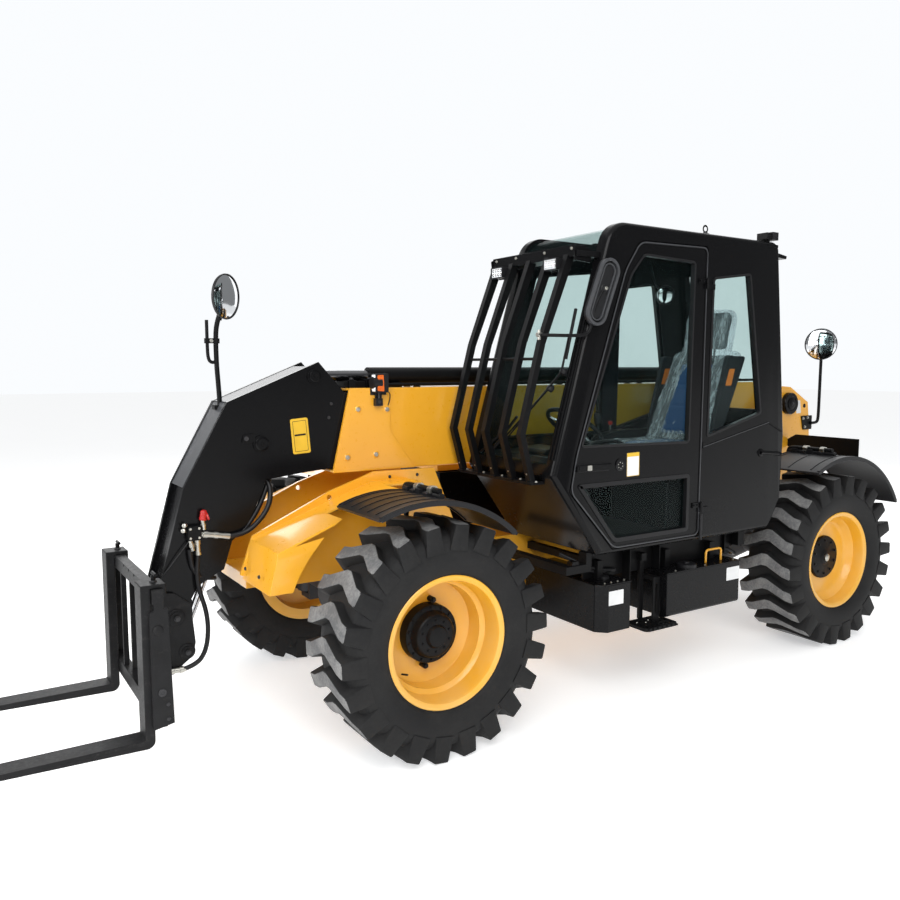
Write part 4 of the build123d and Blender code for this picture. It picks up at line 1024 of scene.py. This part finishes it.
# windscreen guard: bolts at the shelf and rail, fold marks, and the rail's end plate
kit = Kit("guard_fittings", "chassis", ["satin", "zinc", "black", "iron"], 1)
bars = [220 + 162.5 * i for i in range(5)]
for i, y in enumerate(bars):
    for dy in (-9, 9):
        kit.bolt((1043, y + dy, 1575), (0.97, 0, -0.25), 5, "zinc")
    kit.bolt((1000, y, 1350), (0.97, 0, -0.25), 6, "zinc")
    kit.box((950, y - 22, 1302), (1000, y + 22, 1309), "satin")
for y in (250, 420, 600, 770, 905):
    kit.bolt((964, y, 1309), (0, 0, 1), 9, "zinc")
for low in (940, 196):
    kit.shape("xz", [(640, 2470), (752, 2478), (762, 2548), (700, 2560), (640, 2540)], low, low + 8,
              "black", 10)
kit.shape("yz", rect(202, 2500, 942, 2560), 744, 750, "black", 6)
for y in (240, 430, 690, 915):
    kit.bolt((750, y, 2542), (1, 0, 0), 8, "zinc")
for y in (292, 870):
    kit.bolt((936, y, 1960), (1, 0, 0), 7, "zinc")
kit.done()

# oblong mirror housing on a bent arm from the guard's left bar
def oblong(middle, along, across, radius, reach, count=14):
    made = []
    for end, sign in ((middle + along * reach, 1), (middle - along * reach, -1)):
        for i in range(count + 1):
            a = math.pi * i / count
            made.append(end + sign * (across * math.cos(a) + along * math.sin(a)) * radius)
    return made


mirrorParts = {"middle": (632, 1018, 2312), "lean": (-0.36, 0.0, 0.93), "radius": 68, "reach": 118}
kit = Kit("side_mirror", "chassis", ["plastic", "mirror", "zinc", "satin", "grey"], 5, 4)
along = Vector(mirrorParts["lean"]).normalized()
across = Vector((along.z, 0, -along.x))
middle = Vector(mirrorParts["middle"])
# the two grey rings on the housing's back are painted highlight on its raised rims
for radius, low, high, key, rim in ((mirrorParts["radius"], 1012, 1028, "plastic", 0),
                                    (mirrorParts["radius"], 1026, 1046, "grey", 15),
                                    (42, 1026, 1040, "grey", 7), (30, 1026, 1034, "plastic", 0),
                                    (60, 1004, 1013, "mirror", 0)):
    ring = [(p.x, p.z) for p in oblong(middle, along, across, radius, mirrorParts["reach"])]
    kit.shape("xz", ring, low, high, key, 0, rim)
kit.lathe([(0, 24), (6, 24), (10, 18), (16, 17), (22, 12), (24, 0)], (622, 1028, 2330), (0, 1, 0),
          "plastic", 28)
kit.bolt((622, 1050, 2330), (0, 1, 0), 9, "zinc")
kit.rod((955, 888, 2086), (925, 888, 2086), 12, "zinc")
kit.rod((940, 888, 2060), (940, 888, 2112), 9, "zinc")
kit.done()
tube("side_mirror_arm", "chassis", "satin",
     [(935, 892, 2084), (925, 960, 2082), (800, 1000, 2080), (730, 1022, 2086),
                                             (700, 1024, 2130), (676, 1026, 2250),
      (632, 1034, 2318)], 9)

# wipers on the windscreen and on the left pillar
kit = Kit("wipers", "chassis", ["plastic", "satin", "trim"], 0.8)
for y, z in ((905, 1890), (828, 1800)):
    kit.lathe([(0, 22), (16, 20), (26, 14), (30, 0)], screenAt(y, z, 2), (1, 0, 0.28), "plastic",
              24)
kit.rod(screenAt(905, 1890, 26), screenAt(560, 1500, 34), 7, "satin", 12, 4)
kit.rod(screenAt(828, 1800, 26), screenAt(470, 1440, 34), 7, "satin", 12, 4)
kit.rod(screenAt(905, 1890, 26), screenAt(900, 2090, 30), 7, "satin", 12, 4)
for (ya, za), (yb, zb) in (((600, 1640), (430, 1425)), ((480, 1530), (330, 1418)),
                           ((893, 2230), (905, 1960))):
    kit.rod(screenAt(ya, za, 16), screenAt(yb, zb, 16), 8, "trim", 8)
    kit.rod(screenAt(ya, za, 24), screenAt(yb, zb, 24), 4, "satin", 8)
kit.done()
print("guard, mirror and wipers fitted")

# lamps: two bars of light under the brow, one at the back of the roof; a lifting eye
kit = Kit("work_lamp_boxes", "chassis", ["plastic", "lens", "chrome", "zinc", "satin"], 2, 2,
          "black_plastic",
          ["work_lamps"])
for y in (301, 789):
    kit.box((730, y - 56, 2438), (780, y + 56, 2499), "plastic")
    for i in range(6):
        kit.box((720, y - 50 + i * 18, 2444), (734, y - 44 + i * 18, 2494), "plastic")
    kit.shape("yz", rect(y - 57, 2437, y + 57, 2500), 774, 796, "plastic", 6, 6)
    kit.box((778, y - 51, 2443), (790, y + 51, 2495), "lens")
    for row in (2457, 2481):
        for i in range(4):
            kit.lathe([(0, 10), (2, 9), (2, 6), (-1, 3), (-1, 0)], (790.5, y - 36 + i * 24, row),
                      (1, 0, 0), "chrome", 16)
    kit.rod((756, y - 20, 2436), (756, y + 20, 2436), 7, "satin", 12)
    kit.bolt((756, y, 2438), (0, 0, -1), 8, "zinc")
kit.box((-868, 905, 2702), (-812, 995, 2750), "plastic")
kit.box((-812, 915, 2708), (-766, 985, 2742), "plastic")
for i in range(6):
    kit.box((-806 + i * 7, 912, 2705), (-803 + i * 7, 988, 2745), "plastic")
kit.shape("yz", rect(908, 2706, 992, 2748), -871, -866, "plastic", 5, 5)
kit.box((-870, 912, 2710), (-867, 988, 2744), "lens")
kit.box((-830, 940, 2690), (-790, 960, 2706), "satin")
kit.done()
kit = Kit("lifting_eyes", "chassis", ["iron", "black"], 1)
eye = (-247, 950, 2724)
kit.lathe([(0, 24), (6, 24), (10, 14), (16, 12), (16, 0)], (*eye[:2], 2690), (0, 0, 1), "iron", 28)
ring = bmesh.ops.create_circle(kit.bm, cap_ends=True, radius=0.0055, segments=12)["verts"]
bmesh.ops.rotate(kit.bm, matrix=Matrix.Rotation(math.radians(90), 3, "X"), verts=ring)
bmesh.ops.translate(kit.bm, vec=at(*eye) + Vector((0.0185, 0, 0)), verts=ring)
geom = ring + once(e for v in ring for e in v.link_edges)
geom += once(f for v in ring for f in v.link_faces)
bmesh.ops.spin(kit.bm, geom=geom, cent=at(*eye), axis=(0, 1, 0), angle=math.tau, steps=32,
               use_merge=True)
bmesh.ops.recalc_face_normals(kit.bm, faces=kit.bm.faces)
kit.done()
print("lamps fitted")

# steering wheel with spokes, hub cap and column cover
wheelParts = {"hub": (440, 600, 1560), "seat": (555, 600, 1407), "radius": 176}
kit = Kit("steering_rim", "chassis", ["plastic", "satin", "chrome", "trim"], 3, 3, "black_plastic",
          ["steering_wheel"])
hub, foot = Vector(wheelParts["hub"]), Vector(wheelParts["seat"])
axis = (hub - foot).normalized()
side = Vector((0, 1, 0))
upward = axis.cross(side)
kit.lathe([(6 + 13 * math.sin(math.tau * i / 14),
            wheelParts["radius"] + 13 * math.cos(math.tau * i / 14))
           for i in range(15)], tuple(hub), tuple(axis), "plastic", 72)
kit.lathe([(-14, 0), (-14, 40), (-4, 48), (8, 46), (16, 34), (19, 0)], tuple(hub), tuple(axis),
          "plastic", 40)
kit.lathe([(18, 24), (22, 22), (22, 0)], tuple(hub), tuple(axis), "trim", 32)
for a in (90, 210, 330):
    way = side * math.cos(math.radians(a)) + upward * math.sin(math.radians(a))
    for off in (-9, 9):
        across = way.cross(axis) * off
        kit.rod(tuple(hub + way * 36 + across), tuple(hub + way * 172 + across * 0.6 + axis * 6), 6,
                "chrome", 10)
kit.rod(tuple(foot), tuple(hub - axis * 10), 26, "plastic", 28, 20)
kit.lathe([(0, 52), (40, 46), (62, 34)], tuple(foot), tuple(axis), "plastic", 32)
for sign in (1, -1):
    start = foot + axis * 70
    kit.rod(tuple(start), tuple(start + side * sign * 120 + axis * 24), 6, "plastic", 12, 9)
kit.done()

# dashboard dials and switches, all blank
kit = Kit("dash_fittings", "chassis", ["plastic", "trim", "chrome", "white", "satin"], 1.5)
for y, radius in ((545, 34), (655, 34), (600, 22)):
    kit.lathe([(0, radius + 5), (5, radius + 4), (5, radius), (2, radius - 2), (2, 0)],
              (700, y, 1420), (-0.1, 0, 1),
              "trim", 36)
for i in range(5):
    kit.box((560, 330 + i * 26, 1419), (592, 350 + i * 26, 1427), "plastic")
    kit.box((560, 760 + i * 26, 1419), (592, 780 + i * 26, 1427), "plastic")
kit.shape("xz", [(560, 1425), (760, 1425), (752, 1452), (600, 1462)], 480, 720, "plastic", 14)
kit.done()

# right-hand console, joystick, levers, pedals and the floor mat
kit = Kit("cab_controls", "chassis", ["plastic", "trim", "satin", "chrome", "red"], 5, 3)
kit.shape("xz", [(-560, 1300), (-60, 1300), (-10, 1400), (-40, 1470), (-200, 1500), (-560, 1500)],
          246, 330, "plastic", 20)
kit.rod((-60, 288, 1460), (-40, 288, 1560), 9, "trim", 16, 7)
kit.lathe([(0, 12), (10, 22), (50, 25), (78, 20), (88, 0)], (-42, 288, 1540), (0.12, 0, 1),
          "plastic", 28)
kit.rod((-150, 288, 1490), (-150, 288, 1540), 6, "chrome", 12)
kit.lathe([(0, 8), (6, 14), (20, 15), (28, 0)], (-150, 288, 1535), (0, 0, 1), "red", 20)
kit.box((-620, 262, 1180), (-300, 320, 1300), "satin")
for y in (430, 620, 730):
    kit.shape("xz", [(470, 985), (482, 980), (520, 1075), (508, 1080)], y - 32, y + 32, "trim", 4)
    kit.rod((505, y, 1040), (560, y, 1010), 8, "satin", 12)
kit.box((-90, 252, 925), (470, 944, 933), "trim")
kit.shape("xz", [(-700, 925), (-590, 925), (-590, 1120), (-700, 1300)], 250, 950, "plastic", 10)
kit.done()
kit = Kit("seat_rails", "chassis", ["plastic", "satin", "trim"], 4)
for i in range(6):
    kit.shape("xy", rect(-560 + i * 3, 372 + i * 3, -104 - i * 3, 828 - i * 3), 1296 - i * 44,
              1268 - i * 44, "trim", 30, 34)
kit.rod((-120, 380, 1316), (-120, 820, 1316), 8, "satin", 12)
kit.done()

# interior round mirror
kit = Kit("cab_mirror", "chassis", ["plastic", "mirror"], 0)
mirrorHead(kit, (-440, 470, 2385), (0.55, 0.80, -0.1), 62)
kit.done()
tube("cab_mirror_arm", "chassis", "plastic",
     [(-452, 452, 2388), (-470, 400, 2420), (-480, 330, 2480), (-480, 300, 2600)], 6)

# a modifier stack applied to its own mesh
def bake(piece):
    graph = bpy.context.evaluated_depsgraph_get()
    made = bpy.data.meshes.new_from_object(piece.evaluated_get(graph))
    piece.modifiers.clear()
    piece.data = made


# closed shapes joined in one skin of voxels
def remeshed(name, bm, voxel):
    mesh = bpy.data.meshes.new(name)
    bm.to_mesh(mesh)
    bm.free()
    piece = addObject(name, mesh)
    bpy.context.view_layer.objects.active = piece
    remesh = piece.modifiers.new("remesh", "REMESH")
    remesh.mode = "VOXEL"
    remesh.voxel_size = voxel
    bake(piece)
    return piece


def relax(bm, times):
    for _ in range(times):
        bmesh.ops.smooth_vert(bm, verts=bm.verts, factor=0.5, use_axis_x=True, use_axis_y=True,
                              use_axis_z=True)


def cushion(name, finish, shapeIt, ease, cap, voxel=0.011, creases=()):
    bm = bmesh.new()
    shapeIt(bm)
    bmesh.ops.bevel(bm, geom=list(bm.edges), offset=ease / 1000, segments=4, profile=0.5,
                    affect="EDGES", material=-1,
                    clamp_overlap=True)
    piece = remeshed(name, bm, voxel)
    rest = [v.co.copy() for v in piece.data.vertices]
    cloth = piece.modifiers.new("cloth", "CLOTH")
    cloth.settings.use_pressure = True
    cloth.settings.uniform_pressure_force = 3.5
    cloth.settings.effector_weights.gravity = 0
    cloth.settings.quality = 4
    cloth.settings.tension_stiffness = 12
    cloth.settings.compression_stiffness = 12
    for step in range(1, 13):
        bpy.context.scene.frame_set(step)
    bake(piece)
    bpy.context.scene.frame_set(1)
    bm = bmesh.new()
    bm.from_mesh(piece.data)
    bm.verts.ensure_lookup_table()
    for v, old in zip(bm.verts, rest):
        away = v.co - old
        if away.length > cap / 1000:
            v.co = old + away.normalized() * cap / 1000
    # seams are pressed in along planes after the cloth step
    for place, normal, wide, depth in creases:
        for v in bm.verts:
            d = abs((v.co - at(*place)).dot(Vector(normal)))
            if d < wide / 1000:
                v.co -= v.normal * depth / 1000 * (1 - (d * 1000 / wide) ** 2)
    relax(bm, 2)
    for f in bm.faces:
        f.smooth = True
    bm.to_mesh(piece.data)
    bm.free()
    piece.data.materials.append(finishes[finish])
    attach(piece, "chassis")
    return piece


def block(low, high):
    def shapeIt(bm):
        made = bmesh.ops.create_cube(bm, size=1)["verts"]
        bmesh.ops.scale(bm, vec=at(*high) - at(*low), verts=made)
        bmesh.ops.translate(bm, vec=(at(*low) + at(*high)) / 2, verts=made)
    return shapeIt


def leaning(outline, y0, y1):
    def shapeIt(bm):
        verts = [bm.verts.new(at(x, y0, z)) for x, z in outline]
        grown = bmesh.ops.extrude_face_region(bm, geom=[bm.faces.new(verts)])["geom"]
        moved = [g for g in grown if isinstance(g, bmesh.types.BMVert)]
        bmesh.ops.translate(bm, vec=(0, (y1 - y0) / 1000, 0), verts=moved)
        bmesh.ops.recalc_face_normals(bm, faces=bm.faces)
    return shapeIt


# seams as (a place on it, its normal, half width, depth)
sideSeams = [((0, 452, 0), (0, 1, 0), 9, 7), ((0, 748, 0), (0, 1, 0), 9, 7)]
seatPieces = [
    cushion("seat_pan", "dark", block((-552, 376, 1340), (-82, 824, 1425)), 30, 12,
            creases=sideSeams),
    cushion("seat_pan_middle", "blue", block((-500, 462, 1390), (-92, 738, 1440)), 18, 6,
            creases=[((-200, 0, 0), (1, 0, 0), 8, 4), ((-300, 0, 0), (1, 0, 0), 8, 4),
                     ((-400, 0, 0), (1, 0, 0), 8, 4)]),
    cushion("seat_back", "dark",
            leaning([(-420, 1462), (-648, 1972), (-672, 2000), (-740, 1996), (-752, 1960),
                                          (-540, 1462)], 374, 826), 24, 12,
            creases=sideSeams),
    cushion("seat_back_middle", "blue",
            leaning([(-412, 1480), (-620, 1945), (-660, 1945), (-470, 1480)], 462, 738), 14, 6,
            creases=[((-500, 600, 1660), (0.41, 0, -0.91), 8, 4),
                     ((-560, 600, 1800), (0.41, 0, -0.91), 8, 4)]),
    cushion("seat_headrest", "dark",
            leaning([(-672, 2030), (-704, 2236), (-722, 2272), (-770, 2272), (-790, 2236),
                                              (-744, 2030)], 456, 744), 22, 12),
]
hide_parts("seat_cushions")

# the clear film the seat came in, slack and wrinkled, open underneath
filmParts = {"voxel": 0.013, "slack": 9, "wrinkle": 9, "flat": (1.45, 1.55), "hem": 1352,
             "smoothed": 14}
bm = bmesh.new()
for shapeIt in (block((-556, 362, 1330), (-68, 838, 1446)),
                leaning([(-404, 1440), (-640, 1975), (-668, 2012), (-748, 2010), (-766, 1960),
                         (-548, 1440)], 360, 840),
                leaning([(-650, 1995), (-688, 2240), (-712, 2284), (-778, 2284), (-804, 2240),
                         (-752, 1995)], 440, 760)):
    shapeIt(bm)
film = remeshed("seat_film", bm, filmParts["voxel"])
bm = bmesh.new()
bm.from_mesh(film.data)
relax(bm, filmParts["smoothed"])
bm.normal_update()
for v in bm.verts:
    ripple = noise.noise(Vector((v.co.x * 7, v.co.y * 26,
                                 v.co.z * 5))) + 0.5 * noise.noise(v.co * 34)
    v.co += v.normal * (filmParts["slack"] + filmParts["wrinkle"] * ripple) / 1000
low = [f for f in bm.faces if f.calc_center_median().z * 1000 < filmParts["hem"]]
bmesh.ops.delete(bm, geom=low, context="FACES")
for f in bm.faces:
    f.smooth = True
filmArea = sum(f.calc_area() for f in bm.faces)
bm.to_mesh(film.data)
bm.free()
film.data.materials.append(finishes["film"])
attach(film, "chassis")
print("film of", round(filmArea, 3), "square metres laid")
print("seat padded")

# black belts with pale orange tags
kit = Kit("seat_belts", "chassis", ["dark", "belt", "satin"], 2)
for y in (334, 866):
    kit.shape("xz", [(-575, 1990), (-640, 1985), (-745, 1985), (-700, 1880), (-560, 1560),
                     (-500, 1440), (-440, 1440),
                     (-470, 1600)], y - 14, y + 14, "dark", 26)
    kit.shape("xz", [(-590, 1905), (-640, 1905), (-610, 1800), (-556, 1800)], y - 17, y + 17,
              "belt", 6)
for side in (-1, 1):
    kit.shape("xz", rect(-500, 1300, -150, 1352), 600 + side * 256 - 12, 600 + side * 256 + 12,
              "dark", 8)
for y in (540, 660):
    kit.rod((-708, y, 1985), (-712, y, 2050), 7, "satin", 12)
kit.done()

# boxes under the cab: lids, straps, blank plates, yellow grab and the slotted upright
kit = Kit("under_cab_fittings", "chassis",
          ["satin", "white", "yellow", "zinc", "plastic", "black", "iron"], 1.2)
kit.box((-604, 292, 702), (54, left + 3, 709), "black")
kit.box((342, 322, 702), (540, left + 2, 709), "black")
kit.shape("xz", rect(-597, 590, -478, 672), left, left + 1.5, "white", 4)
kit.shape("xz", rect(402, 586, 514, 668), left, left + 1.5, "white", 4)
kit.lathe([(0, 62), (22, 60), (26, 54), (26, 20), (34, 18), (34, 0)], (-180, 940, 706), (0, 0, 1),
          "plastic", 36)
kit.lathe([(0, 30), (16, 28), (20, 20), (20, 0)], (440, 880, 706), (0, 0, 1), "plastic", 28)
for x in (370, 420, 470, 520):
    kit.bolt((x, left - 30, 709), (0, 0, 1), 7, "zinc")
for x in (-560, -300, -40):
    kit.bolt((x, left - 20, 709), (0, 0, 1), 7, "zinc")
for x in (-640, -420, -200, 40, 260, 480):
    kit.bolt((x, 836, 850), (0, 1, 0), 9, "iron")
kit.shape("xz", rect(-640, 720, -630, 870), 836, 856, "satin")
kit.shape("xz", rect(250, 560, 256, 860), 836, 900, "satin")
kit.shape("xz", rect(6, 560, 12, 860), 836, 900, "satin")
# grip bumps along the tread's edge
for i in range(7):
    kit.rod((-6 + i * 38, 1030, 402), (-6 + i * 38, 1037, 402), 7, "satin", 10)
for i in range(5):
    kit.rod((10 + i * 46, 906 + (i % 2) * 26, 411), (10 + i * 46, 906 + (i % 2) * 26, 416), 6,
            "zinc", 12, 4)
kit.done()
tube("tank_grab", "chassis", "yellow",
     [(-360, 934, 706), (-360, 934, 770), (-366, 934, 782), (-380, 934, 786),
                                        (-480, 934, 786), (-494, 934, 782), (-500, 934, 770),
      (-500, 934, 706)], 7,
     smooth=False)
tube("floor_hoses", "chassis", "trim", [
    [(600, 760, 800), (540, 820, 760), (470, 850, 742), (380, 846, 735), (300, 800, 728),
     (240, 700, 720)],
    [(620, 700, 840), (560, 800, 800), (500, 850, 768), (420, 856, 750), (330, 850, 740)],
    [(-620, 800, 760), (-680, 850, 740), (-760, 840, 700), (-900, 700, 650), (-1000, 400, 640)],
], 11)

# yellow outrigger under the cab's front corner
kit = Kit("front_outrigger", "chassis", ["yellow", "iron", "black"], 2)
kit.box((690, 232, 772), (738, 900, 806), "yellow")
kit.box((640, 846, 772), (692, 900, 806), "yellow")
kit.shape("xz", [(640, 806), (700, 806), (690, 838), (650, 838)], 850, 895, "black")
for y in (300, 560):
    kit.bolt((738, y, 789), (1, 0, 0), 10, "iron")
kit.done()

# side plates: ring round the boom's pivot, blank label, grommets and wing bolts
pivotX, pivotZ = -2118, 1628
kit = Kit("frame_fittings", "chassis",
          ["satin", "white", "iron", "trim", "zinc", "yellow", "black"], 1)
for side in (1, -1):
    kit.lathe([(-1, 86), (33, 85), (38, 80), (38, 58), (34, 54), (34, 0)],
              (pivotX, side * 229, pivotZ), (0, side, 0),
              "black", 48)
    kit.lathe([(0, 46), (5, 45), (7, 40), (7, 0)], (pivotX, side * 263, pivotZ), (0, side, 0),
              "satin", 36)
    kit.bolt((pivotX, side * 270, pivotZ), (0, side, 0), 15, "iron")
    kit.lathe([(0, 17), (2, 16), (2, 0)], (-2333, side * 230, 1604), (0, side, 0), "black", 20)
    kit.lathe([(0, 66), (6, 64), (8, 56), (8, 0)], (-1550, side * 230, 930), (0, side, 0), "satin",
              36)
    kit.bolt((-1550, side * 238, 930), (0, side, 0), 14, "iron")
    kit.lathe([(-2, 30), (4, 28), (6, 20), (2, 14), (2, 0)], (1833, side * 230, 1161), (0, side, 0),
              "trim", 28)
    kit.rod((1833, side * 225, 1161), (1825, side * 262, 1150), 11, "trim")
    for x, z in ((1700, 1230), (1480, 1300), (1300, 1300)):
        kit.bolt((x, side * 231, z), (0, side, 0), 9, "iron")
    for x in (1640, 1720, 1800):
        kit.bolt((x, side * 480, 1262 - (x - 1600) * 0.347), (0.33, 0, 0.94), 9, "iron")
    kit.lathe([(0, 9), (14, 9), (17, 13), (25, 13), (26, 0)], (2200, side * 470, 838), (0, 0, -1),
              "zinc", 20)
    kit.bolt((2350, side * 300, 900), (1, 0, 0), 10, "iron")
    kit.bolt((2350, side * 500, 900), (1, 0, 0), 10, "iron")
kit.shape("xz", [(-2216, 1650), (-2274, 1650), (-2290, 1546), (-2232, 1544)], 230.4, 231.4, "white",
          4)
# tail: two plain blocks, the tow pin and bolts
for side in (1, -1):
    kit.shape("yz", rect(side * 180, 640, side * 330, 700), -2424, -2419, "black", 8)
kit.rod((-2485, 0, 560), (-2485, 0, 720), 17, "iron", 28)
kit.rod((-2485, 0, 716), (-2485, 0, 726), 28, "iron", 28)
for y in (-150, 150):
    kit.bolt((-2420, y, 980), (-1, 0, 0), 12, "iron")
    kit.bolt((-2420, y, 1180), (-1, 0, 0), 12, "iron")
kit.done()

# rear board: bolts, and lamps facing back
kit = Kit("lamp_board_fittings", "chassis", ["zinc", "satin", "red", "orange", "plastic", "lens"],
          1)
for y, z in ((355, 1352), (398, 1314), (345, 1270), (670, 1320), (790, 1362), (785, 1272)):
    kit.bolt((-2139, y, z), (1, 0, 0), 9, "zinc")
for low, high, key in ((560, 640, "orange"), (645, 725, "red"), (730, 800, "lens")):
    kit.shape("yz", rect(low, 1276, high, 1356), -2168, -2156, "plastic", 8)
    kit.shape("yz", rect(low + 4, 1280, high - 4, 1352), -2178, -2167, key, 8)
kit.done()

# mudguards: raised ribs, rolled edges, clamps and a bent rod
guardParts = {
    "front": {"centre": (118, axleZ - 12), "first": 68, "last": 133,
              "ribs": (668, 752, 836, 920, 1004)},
    "rear": {"centre": (0, axleZ), "first": 63, "last": 149, "ribs": (668, 836, 1004)},
}
for corner, (axle, side, end) in wheelPlaces.items():
    form = guardParts[end]
    centre = (axle + form["centre"][0], form["centre"][1])
    kit = Kit(f"guard_ribs_{corner}", f"knuckle_{corner}",
              ["plastic", "satin", "white", "iron", "zinc"], 1.5)
    for y in form["ribs"]:
        kit.arc(centre, 716, *between(side, y, y + 9), 7.5, form["first"] + 1, form["last"] - 1,
                "plastic")
    kit.arc(centre, 697, *between(side, 1064, 1084), 28, form["first"], form["last"], "plastic")
    kit.arc(centre, 700, *between(side, 639, 650), 24, form["first"], form["last"], "plastic")
    crown = centre[1] + math.sqrt(720 ** 2 - (axle - centre[0]) ** 2)
    for y in (760, 890):
        low, high = between(side, y - 20, y + 20)
        kit.box((axle - 46, low, crown - 4), (axle + 46, high, crown + 20), "plastic")
        kit.shape("xz", [(axle - 24, crown + 14), (axle + 24, crown + 14), (axle + 24, crown + 40),
                         (axle + 13, crown + 52),
                         (axle - 13, crown + 52), (axle - 24, crown + 40)],
                  *between(side, y - 17, y + 17),
                  "zinc")
        for dx in (-36, 36):
            kit.bolt((axle + dx, side * y, crown + 20), (0, 0, 1), 7, "iron")
    kit.done()
    run = [(axle, side * 612, crown - 40), (axle, side * 614, crown + 16),
           (axle, side * 640, crown + 32),
           (axle, side * 760, crown + 32), (axle, side * 960, crown + 32)]
    tube(f"guard_rod_{corner}", f"knuckle_{corner}", "satin", run, 15)
print("mudguards and frame fitted")

# engine side: louvre frames, pressed panels, latches and the end grilles
kit = Kit("pod_fittings", "chassis", ["satin", "black", "iron", "zinc", "plastic", "chrome"], 1.5)
outer = -985
for low in range(7):
    z = 560 + 130 + 60 * low
    kit.shape("xz", rect(-662, z + 26, -138, z + 36), outer - 6, outer + 4, "black")
for x in (80, 330, 580):
    kit.shape("xz", rect(x, 700, x + 200, 1130), outer - 4, outer + 1, "black", 14, 12)
for x in (-780, 790):
    kit.shape("xz", rect(x - 22, 1120, x + 22, 1190), outer - 9, outer + 1, "satin", 6)
    kit.bolt((x, outer - 9, 1155), (0, -1, 0), 8, "zinc")
kit.box((-868, outer - 3, 556), (862, outer + 8, 572), "black")
for x in (-800, -400, 0, 400, 800):
    kit.bolt((x, outer - 2, 600), (0, -1, 0), 9, "iron")
kit.shape("yz", rect(-900, 640, -320, 1180), -869, -864, "black", 20, 14)
for i in range(9):
    kit.box((-872, -880, 680 + i * 52), (-864, -340, 700 + i * 52), "satin")
kit.shape("yz", rect(-900, 640, -320, 1180), 859, 864, "black", 20, 14)
kit.done()
kit = Kit("hood_fittings", "hood", ["satin", "trim", "zinc", "black"], 2)
kit.shape("xz", rect(-120, 1238, 120, 1262), -990, -978, "trim", 8)
for x in (-560, 560):
    kit.lathe([(0, 16), (6, 16), (8, 12), (8, 0)], (x, -940, 1282), (0, -0.3, 1), "trim", 24)
kit.done()
kit = Kit("engine_detail", "chassis", ["iron", "black", "satin", "zinc", "yellow", "trim"], 4, 2,
          "grey_iron", ["engine_block"])
kit.shape("xz", [(-430, 640), (420, 640), (420, 1040), (380, 1118), (-390, 1118), (-430, 1040)],
          -788, -322, "iron", 24)
kit.box((-330, -640, 1112), (330, -470, 1120), "satin")
for i in range(6):
    x = -300 + i * 120
    kit.rod((x, -560, 1100), (x, -560, 1119), 26, "black", 20)
    kit.rod((x, -790, 900), (x, -760, 960), 16, "satin", 14)
for z in (760, 860, 960):
    kit.lathe([(0, 80 - (z - 760) * 0.1), (14, 80), (18, 60), (18, 0)], (-430, -560, z), (-1, 0, 0),
              "satin", 32)
kit.rod((420, -560, 880), (440, -560, 880), 190, "black", 40, 190)
kit.done()
print("engine side fitted")

# the rods that stay plain get their metal: greasy on the boom, bright on the lift
for node, key in (("extension_rod", "oiled"), ("lift_rod", "chrome"), ("tilt_rod", "chrome")):
    nodes[node].data.materials.clear()
    nodes[node].data.materials.append(finishes[key])
